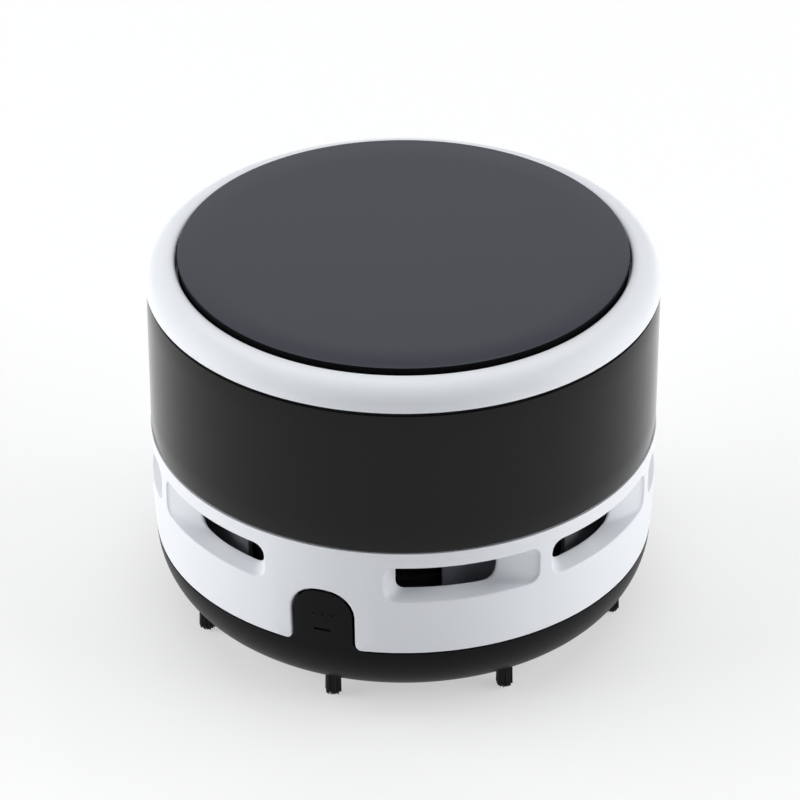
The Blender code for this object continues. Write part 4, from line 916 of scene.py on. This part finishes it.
def addLatch():
    bm = bmesh.new()
    latchBlock(bm, "bar", 0, latch["barSpan"])
    latchBlock(bm, "neck", 0, latch["neckWidth"] / form["shellRadius"])
    addPiece("tabCatch", bm, "base_black", "tab", bevel=latch["bevel"])

    bm = bmesh.new()
    middle = (latch["barSpan"] - latch["keeperSpan"]) / 2
    for side in (-1, 1):
        latchBlock(bm, "keeper", side * middle, latch["keeperSpan"])
    addPiece("keepers", bm, "white_plastic", "housing", bevel=latch["bevel"])

    bm = bmesh.new()
    latchBlock(bm, "hook", math.pi, latch["hookSpan"])
    addPiece("trayHook", bm, "base_black", "tray", bevel=latch["bevel"])


# Intake: the slot with its funnelled mouth, and the chimney that keeps the crumbs in
intake = {
    "halfLength": 15.0 * mm,
    "halfWidth": 5.0 * mm,
    "top": 13.5 * mm,
    "corner": 1.5 * mm,
    "cornerSteps": 6,
    "longSteps": 20,
    "shortSteps": 8,
    "rim": 20.2 * mm,
    "rimSunk": 0.05 * mm,  # the rim lies just inside the bowl's underside
    # Loops outside the slot by their first number, at their second from the underside, the
    # chimney's top and the floor, in millimetres
    "funnel": ((2.4, 0.0), (1.6, 0.15), (0.7, 0.8), (0.15, 1.7), (0.0, 2.6)),
    "lip": ((0.0, -0.3), (0.09, -0.09), (0.3, 0.0), (1.1, 0.0), (1.31, -0.09), (1.4, -0.3)),
    "root": ((1.4, 1.0), (1.7, 0.3), (2.4, 0.0)),
}


def slotRing(grow, z):
    # Places round the intake slot, wider by one margin on every side, from the middle of +X
    x, y = intake["halfLength"] + grow, intake["halfWidth"] + grow
    corner, count = intake["corner"] + grow, intake["cornerSteps"]
    across, far = x - corner, y - corner
    arcs = [
        quarter(across, far, corner, 0, count),
        quarter(-across, far, corner, 90, count),
        quarter(-across, -far, corner, 180, count),
        quarter(across, -far, corner, 270, count),
    ]
    places = joined(arcs, (intake["longSteps"], intake["shortSteps"]))
    start = intake["shortSteps"] // 2
    return [(x, y, z) for x, y in places[-start:] + places[:-start]]


def addIntake():
    under, floor = levels["underside"], base["floorTop"]
    loops = [(grow * mm, under + up * mm) for grow, up in intake["funnel"]]
    loops += [(grow * mm, intake["top"] + up * mm) for grow, up in intake["lip"]]
    loops += [(grow * mm, floor + up * mm) for grow, up in intake["root"]]
    count = len(slotRing(0, 0))
    turn = math.tau / count
    bm = bmesh.new()
    bmesh.ops.create_circle(bm, segments=count, radius=intake["rim"])
    ring = sorted(bm.verts, key=lambda vert: round(math.atan2(vert.co.y, vert.co.x) / turn) % count)
    for vert in ring:
        vert.co.z = under + intake["rimSunk"]
    circle = [(vert.co.x, vert.co.y, floor) for vert in ring]
    for grow, z in loops:
        ring = pushRing(bm, ring, slotRing(grow, z))
    pushRing(bm, ring, circle)
    addPiece("intake", bm, "base_black", "tray", sharp=50)


# Grey apron round the fan and the filter, with a window behind the near half of each outlet
apron = {
    "inner": 34.6 * mm,
    "outer": 35.5 * mm,
    "foot": 17.3 * mm,
    "sill": 18.4 * mm,
    "head": 31.0 * mm,
    "top": 33.3 * mm,
    "windowRows": 4,
    "firstColumn": 9,
    "windowColumns": 10,
    "bevel": 0.12 * mm,
}


def addApron():
    window = steps(apron["sill"], apron["head"], apron["windowRows"])
    rows = [apron["foot"], *window, apron["top"]]
    profile = [(apron["outer"], z) for z in rows]
    profile += [(apron["inner"], z) for z in reversed(rows)]
    bm = lathe(profile)
    grid = wallGrid(bm, rows, apron["inner"])
    columns = (apron["firstColumn"], apron["windowColumns"])
    for _, _, outer, inside in outletCells(bm, grid, *columns, 1, len(rows) - 2):
        pushRing(bm, outer, [vert.co.copy() for vert in inside])
    bmesh.ops.remove_doubles(bm, verts=bm.verts, dist=touch)
    addPiece("apron", bm, "shroud_grey", "housing", bevel=apron["bevel"])


# Upper casing: band, crowned ring and press disc
band = {
    "outer": 42.9 * mm,
    "inner": 40.5 * mm,
    "headEdge": 0.35 * mm,
    "footEdge": 0.12 * mm,
    "bevel": 0.1 * mm,
}
topRing = {
    "outer": 43.1 * mm,
    "opening": 38.0 * mm,
    "footEdge": 0.4 * mm,
    "shoulder": 0.45 * mm,
    "lip": 0.5 * mm,
    "seatTop": 3.5 * mm,  # under the crown
    "seatFoot": 4.9 * mm,
    "postHole": 5.0 * mm,
    "skirtInner": 38.6 * mm,
    "skirtOuter": 40.2 * mm,
    "skirtDepth": 5.6 * mm,
    "bevel": 0.1 * mm,
}
disc = {
    "radius": 37.6 * mm,
    "edge": 0.16 * mm,
    "loops": (8 * mm, 16 * mm, 24 * mm, 32 * mm),
    "rimInner": 36.2 * mm,
    "rimDepth": 2.6 * mm,
    "thickness": 1.6 * mm,
    "post": 3.0 * mm,
    "postDepth": 5.4 * mm,
    "bevel": 0.08 * mm,
    # radius beyond which the disc's side faces get the painted shade
    "paintedShadeFrom": 37.0 * mm,
}


def addBand():
    foot, rim = levels["bandFoot"], levels["bandRim"]
    outer, crisp, edge = band["outer"], band["footEdge"], band["headEdge"]
    profile = [(band["inner"], foot)]
    profile += quarter(outer - crisp, foot + crisp, crisp, 270, 3)
    profile += between((outer, foot + crisp), (outer, rim - edge), 6)[1:-1]
    profile += quarter(outer - edge, rim - edge, edge, 0)
    profile += [(band["inner"], rim)]
    bm = lathe(profile)
    addPiece("bandShell", bm, "gloss_black", "housing", ["band_shell"], bevel=band["bevel"])


def addTopRing():
    foot, crown = levels["bandRim"] + seam, levels["crown"]
    edge, lip = topRing["footEdge"], topRing["lip"]
    shoulder = foot + topRing["shoulder"]
    mouth = topRing["opening"] + lip
    reach = topRing["outer"]
    seatFoot = crown - topRing["seatFoot"]
    skirtFoot = seatFoot - topRing["skirtDepth"]
    profile = quarter(reach - edge, foot + edge, edge, 270)
    profile += arc((mouth, shoulder), (reach - mouth, crown - shoulder), 0, 90, 20)[1:]
    profile += quarter(mouth, crown - lip, lip, 90)[1:]
    profile += [
        (topRing["opening"], crown - topRing["seatTop"]),
        (topRing["postHole"], crown - topRing["seatTop"]),
        (topRing["postHole"], seatFoot),
        (topRing["skirtInner"], seatFoot),
        (topRing["skirtInner"], skirtFoot),
        (topRing["skirtOuter"], skirtFoot),
        (topRing["skirtOuter"], foot),
    ]
    bm = lathe(profile)
    addPiece("topRing", bm, "white_plastic", "ring", ["top_ring"], bevel=topRing["bevel"])


def addDisc():
    top, edge, radius = levels["discTop"], disc["edge"], disc["radius"]
    under, rimFoot = top - disc["thickness"], top - disc["rimDepth"]
    profile = [(0.0, top)] + [(reach, top) for reach in disc["loops"]]
    profile += arc((radius - edge, top - edge), (edge, edge), 90, 0, 4)
    profile += [
        (radius, rimFoot),
        (disc["rimInner"], rimFoot),
        (disc["rimInner"], under),
        (disc["post"], under),
        (disc["post"], top - disc["postDepth"]),
        (0.0, top - disc["postDepth"]),
    ]
    bm = lathe(profile, closed=False)
    nodes = ["power_disc"]
    piece = addPiece("powerDisc", bm, "satin_black", "disc", nodes, bevel=disc["bevel"])
    piece.data.materials.append(materials["paintedGapShade"])  # painted shade: the disc's side gets a darker material for the shade of the gap it stands in
    for face in piece.data.polygons:
        if abs(face.normal.z) < 0.5 and math.hypot(*face.center.xy) > disc["paintedShadeFrom"]:
            face.material_index = 1


# Barbed legs that hold the disc in the ring
leg = {
    "count": 3,
    "pitch": 30.0 * mm,
    "width": 5.0 * mm,
    "thickness": 1.4 * mm,
    "root": 1.5 * mm,
    "toe": 0.3 * mm,
    "barb": 1.0 * mm,
    "barbRise": 1.1 * mm,
    "bevel": 0.12 * mm,
}


def addLegs():
    root, foot = levels["discTop"] - leg["root"], levels["legFoot"]
    head = levels["crown"] - topRing["seatFoot"] - seam
    half = leg["thickness"] / 2
    barb = half + leg["barb"]
    side = [(-half, root), (-half, foot), (leg["toe"], foot), (barb, foot + leg["barbRise"])]
    side += [(barb, head), (half, head), (half, root)]
    bm = bmesh.new()
    for index in range(leg["count"]):
        turn = Matrix.Rotation(math.tau * (index + 0.5) / leg["count"], 3, "Z")
        near = [
            bm.verts.new((-leg["width"] / 2, -leg["pitch"] - across, z)) for across, z in side
        ]
        made = bmesh.ops.extrude_face_region(bm, geom=[bm.faces.new(near)])["geom"]
        far = [item for item in made if isinstance(item, bmesh.types.BMVert)]
        bmesh.ops.translate(bm, verts=far, vec=(leg["width"], 0, 0))
        bmesh.ops.rotate(bm, verts=near + far, cent=(0, 0, 0), matrix=turn)
    addPiece("discLegs", bm, "satin_black", "disc", bevel=leg["bevel"])


# Bristle tufts: stiff strands with unevenly cut tips
tuft = {
    "count": 8,
    "firstSeed": 3,
    "circle": 37.5 * mm,
    "radius": 1.30 * mm,
    "top": 6.0 * mm,
    "splay": 1.10,
    "rows": 6,  # on each side of the middle one
    "spacing": 0.30 * mm,
    "strandFoot": 0.125 * mm,
    "strandTop": 0.14 * mm,
    "strandSides": 6,
    "uneven": 0.25,  # the rest in millimetres
    "domed": 0.55,
    "lean": 0.05,
    "cut": 0.12,
}


def addStrand(bm, middle, x, y):
    lean, dome = tuft["lean"], (math.hypot(x, y) / tuft["radius"]) ** 3
    tip = (random.uniform(0.0, tuft["uneven"]) + tuft["domed"] * dome) * mm
    leanX = random.uniform(-lean, lean) * mm
    leanY = random.uniform(-lean, lean) * mm
    cut = random.uniform(-tuft["cut"], tuft["cut"]) * mm
    strand = bmesh.ops.create_cone(
        bm,
        segments=tuft["strandSides"],
        radius1=tuft["strandFoot"],
        radius2=tuft["strandTop"],
        depth=1.0,
        cap_ends=True,
    )["verts"]
    for vert in strand:
        if vert.co.z > 0:
            vert.co += Vector((x, y, 0))
            vert.co.z = tuft["top"]
        else:
            vert.co += Vector((x * tuft["splay"] + leanX, y * tuft["splay"] + leanY, 0))
            vert.co.z = max(tip + cut * (vert.co.x - x) / tuft["strandTop"], 0.0)
        vert.co += middle


def addTufts():
    rows, spacing = tuft["rows"], tuft["spacing"]
    for index in range(tuft["count"]):
        middle = onWall(math.tau * index / tuft["count"], 0, tuft["circle"])
        bm = bmesh.new()
        random.seed(index + tuft["firstSeed"])
        for row in range(-rows, rows + 1):
            for place in range(-rows, rows + 1):
                x = (place + 0.5 * (row % 2)) * spacing
                y = row * spacing * math.sqrt(3) / 2
                if math.hypot(x, y) <= tuft["radius"]:
                    addStrand(bm, middle, x, y)
        nodes = [f"bristle_tuft_{index + 1}"]
        addPiece(f"tuft{index + 1}", bm, "bristle_nylon", "tray", nodes)


# Inner pieces: the solids' own shapes, merged, with their edges rounded by these millimetres
innerEdges = {
    "fan_housing": 0.20,
    "inlet_plate": 0.20,
    "filter_frame": 0.15,
    "filter_mesh": 0.0,
    "impeller": 0.12,
    "motor_can": 0.15,
    "motor_end_cap": 0.15,
    "motor_shaft": 0.05,
    "motor_terminal_1": 0.06,
    "motor_terminal_2": 0.06,
    "battery_tray": 0.15,
    "contact_link": 0.05,
    "contact_positive": 0.05,
    "contact_negative": 0.05,
    "switch_body": 0.20,
    "switch_plunger": 0.12,
}
innerFinish = {"flat": 0.5, "sharp": 32, "screwEdge": 0.08 * mm, "wireRounds": 2, "wireSharp": 180}


def copyOf(node):  # the node's mesh in the frame, merged
    source = frame["nodes"][node]
    bm = bmesh.new()
    bm.from_mesh(source.data)
    bmesh.ops.transform(bm, matrix=source.matrix_world, verts=bm.verts)
    bmesh.ops.remove_doubles(bm, verts=bm.verts, dist=touch)
    flat = math.radians(innerFinish["flat"])
    bmesh.ops.dissolve_limit(bm, angle_limit=flat, verts=bm.verts, edges=bm.edges)
    return bm


def addInner():
    bodies = frame["record"]["behaviour"]["bodies"]
    bodyOf = {node: body for body, nodes in bodies.items() for node in nodes}

    def addFine(node, slot, bevel=0.0, sharp=40.0):
        return addPiece("fine_" + node, copyOf(node), slot, bodyOf[node], [node], bevel, sharp)

    for node, width in innerEdges.items():
        slot = "inner_black" if node == "fan_housing" else slotOf[node]
        addFine(node, slot, width * mm, innerFinish["sharp"])
    for node in frame["nodes"]:
        if node.startswith(("contact_spring", "lead_")):
            wire = addFine(node, slotOf[node], sharp=innerFinish["wireSharp"])
            smooth = wire.modifiers.new("round", "SUBSURF")
            smooth.levels = smooth.render_levels = innerFinish["wireRounds"]
        if "_screw_" in node:
            addFine(node, slotOf[node], innerFinish["screwEdge"])


# Two cells: a sleeved can with a bare rim, a crimped shoulder and a nub
cell = {
    "nubHeight": 1.0 * mm,
    "nub": 2.7 * mm,
    "nubRoot": 2.9 * mm,
    "nubEdge": 0.35 * mm,
    "crimp": 0.7 * mm,
    "dish": 1.4 * mm,
    "dishEdge": 1.1 * mm,
    "dishDepth": 0.12 * mm,
    "shoulder": 1.3 * mm,
    "groove": 1.5 * mm,
    "grooveDepth": 0.2 * mm,
    "bare": 1.25 * mm,
    "bareMargin": 0.05 * mm,
    "bandFrom": 0.7,  # share of the length where the coloured band starts
    "sharp": 35,
}


def cellProfile(radius, length):
    crimp, edge, nub = cell["crimp"], cell["nubEdge"], cell["nub"]
    top = length - cell["nubHeight"]
    profile = [(0.0, 0.0), (radius - cell["dish"], 0.0)]
    profile += [(radius - cell["dishEdge"], cell["dishDepth"])]
    profile += quarter(radius - crimp, crimp, crimp, 270)
    profile += between((radius, crimp), (radius, top - crimp), 8)[1:-1]
    profile += quarter(radius - crimp, top - crimp, crimp, 0)
    profile += [
        (radius - cell["shoulder"], top),
        (radius - cell["groove"], top - cell["grooveDepth"]),
        (cell["nubRoot"], top - cell["grooveDepth"]),
        (nub, top),
        (nub, length - edge),
    ]
    profile += quarter(nub - edge, length - edge, edge, 0, 4)[1:]
    return profile + [(0.0, length)]


def addCells():
    for node in ("battery_cell_1", "battery_cell_2"):
        low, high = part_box(node)
        middle = (low + high) / 2
        radius, length = (high.z - low.z) / 2, high.x - low.x
        side = 1 if middle.y > 0 else -1  # the two cells point opposite ways
        start = Vector((low.x if side > 0 else high.x, middle.y, middle.z))
        lay = Matrix.Translation(start) @ Matrix.Rotation(math.radians(90 * side), 4, "Y")
        bm = lathe(cellProfile(radius, length), closed=False)
        bmesh.ops.transform(bm, matrix=lay, verts=bm.verts)
        piece = addPiece("fine_" + node, bm, "cell_sleeve", "housing", [node], sharp=cell["sharp"])
        piece.data.materials.append(materials["steel"])
        piece.data.materials.append(materials["cellBand"])
        nubFrom = length - cell["nubHeight"] - cell["bareMargin"]
        for face in piece.data.polygons:
            along = abs(face.center.x - start.x)
            reach = math.hypot(face.center.y - middle.y, face.center.z - middle.z)
            if reach < radius - cell["bare"] or along > nubFrom:
                face.material_index = 1
            elif along > cell["bandFrom"] * length:
                face.material_index = 2


addVentShell()
print("vent shell made")
addTray()
addPips()
addLatch()
addIntake()
print("tray made")
addApron()
addBand()
addTopRing()
addDisc()
addLegs()
addTufts()
print("upper casing and tufts made")
addInner()
addCells()
print("inner pieces made")

bpy.context.scene.view_settings.view_transform = "Standard"
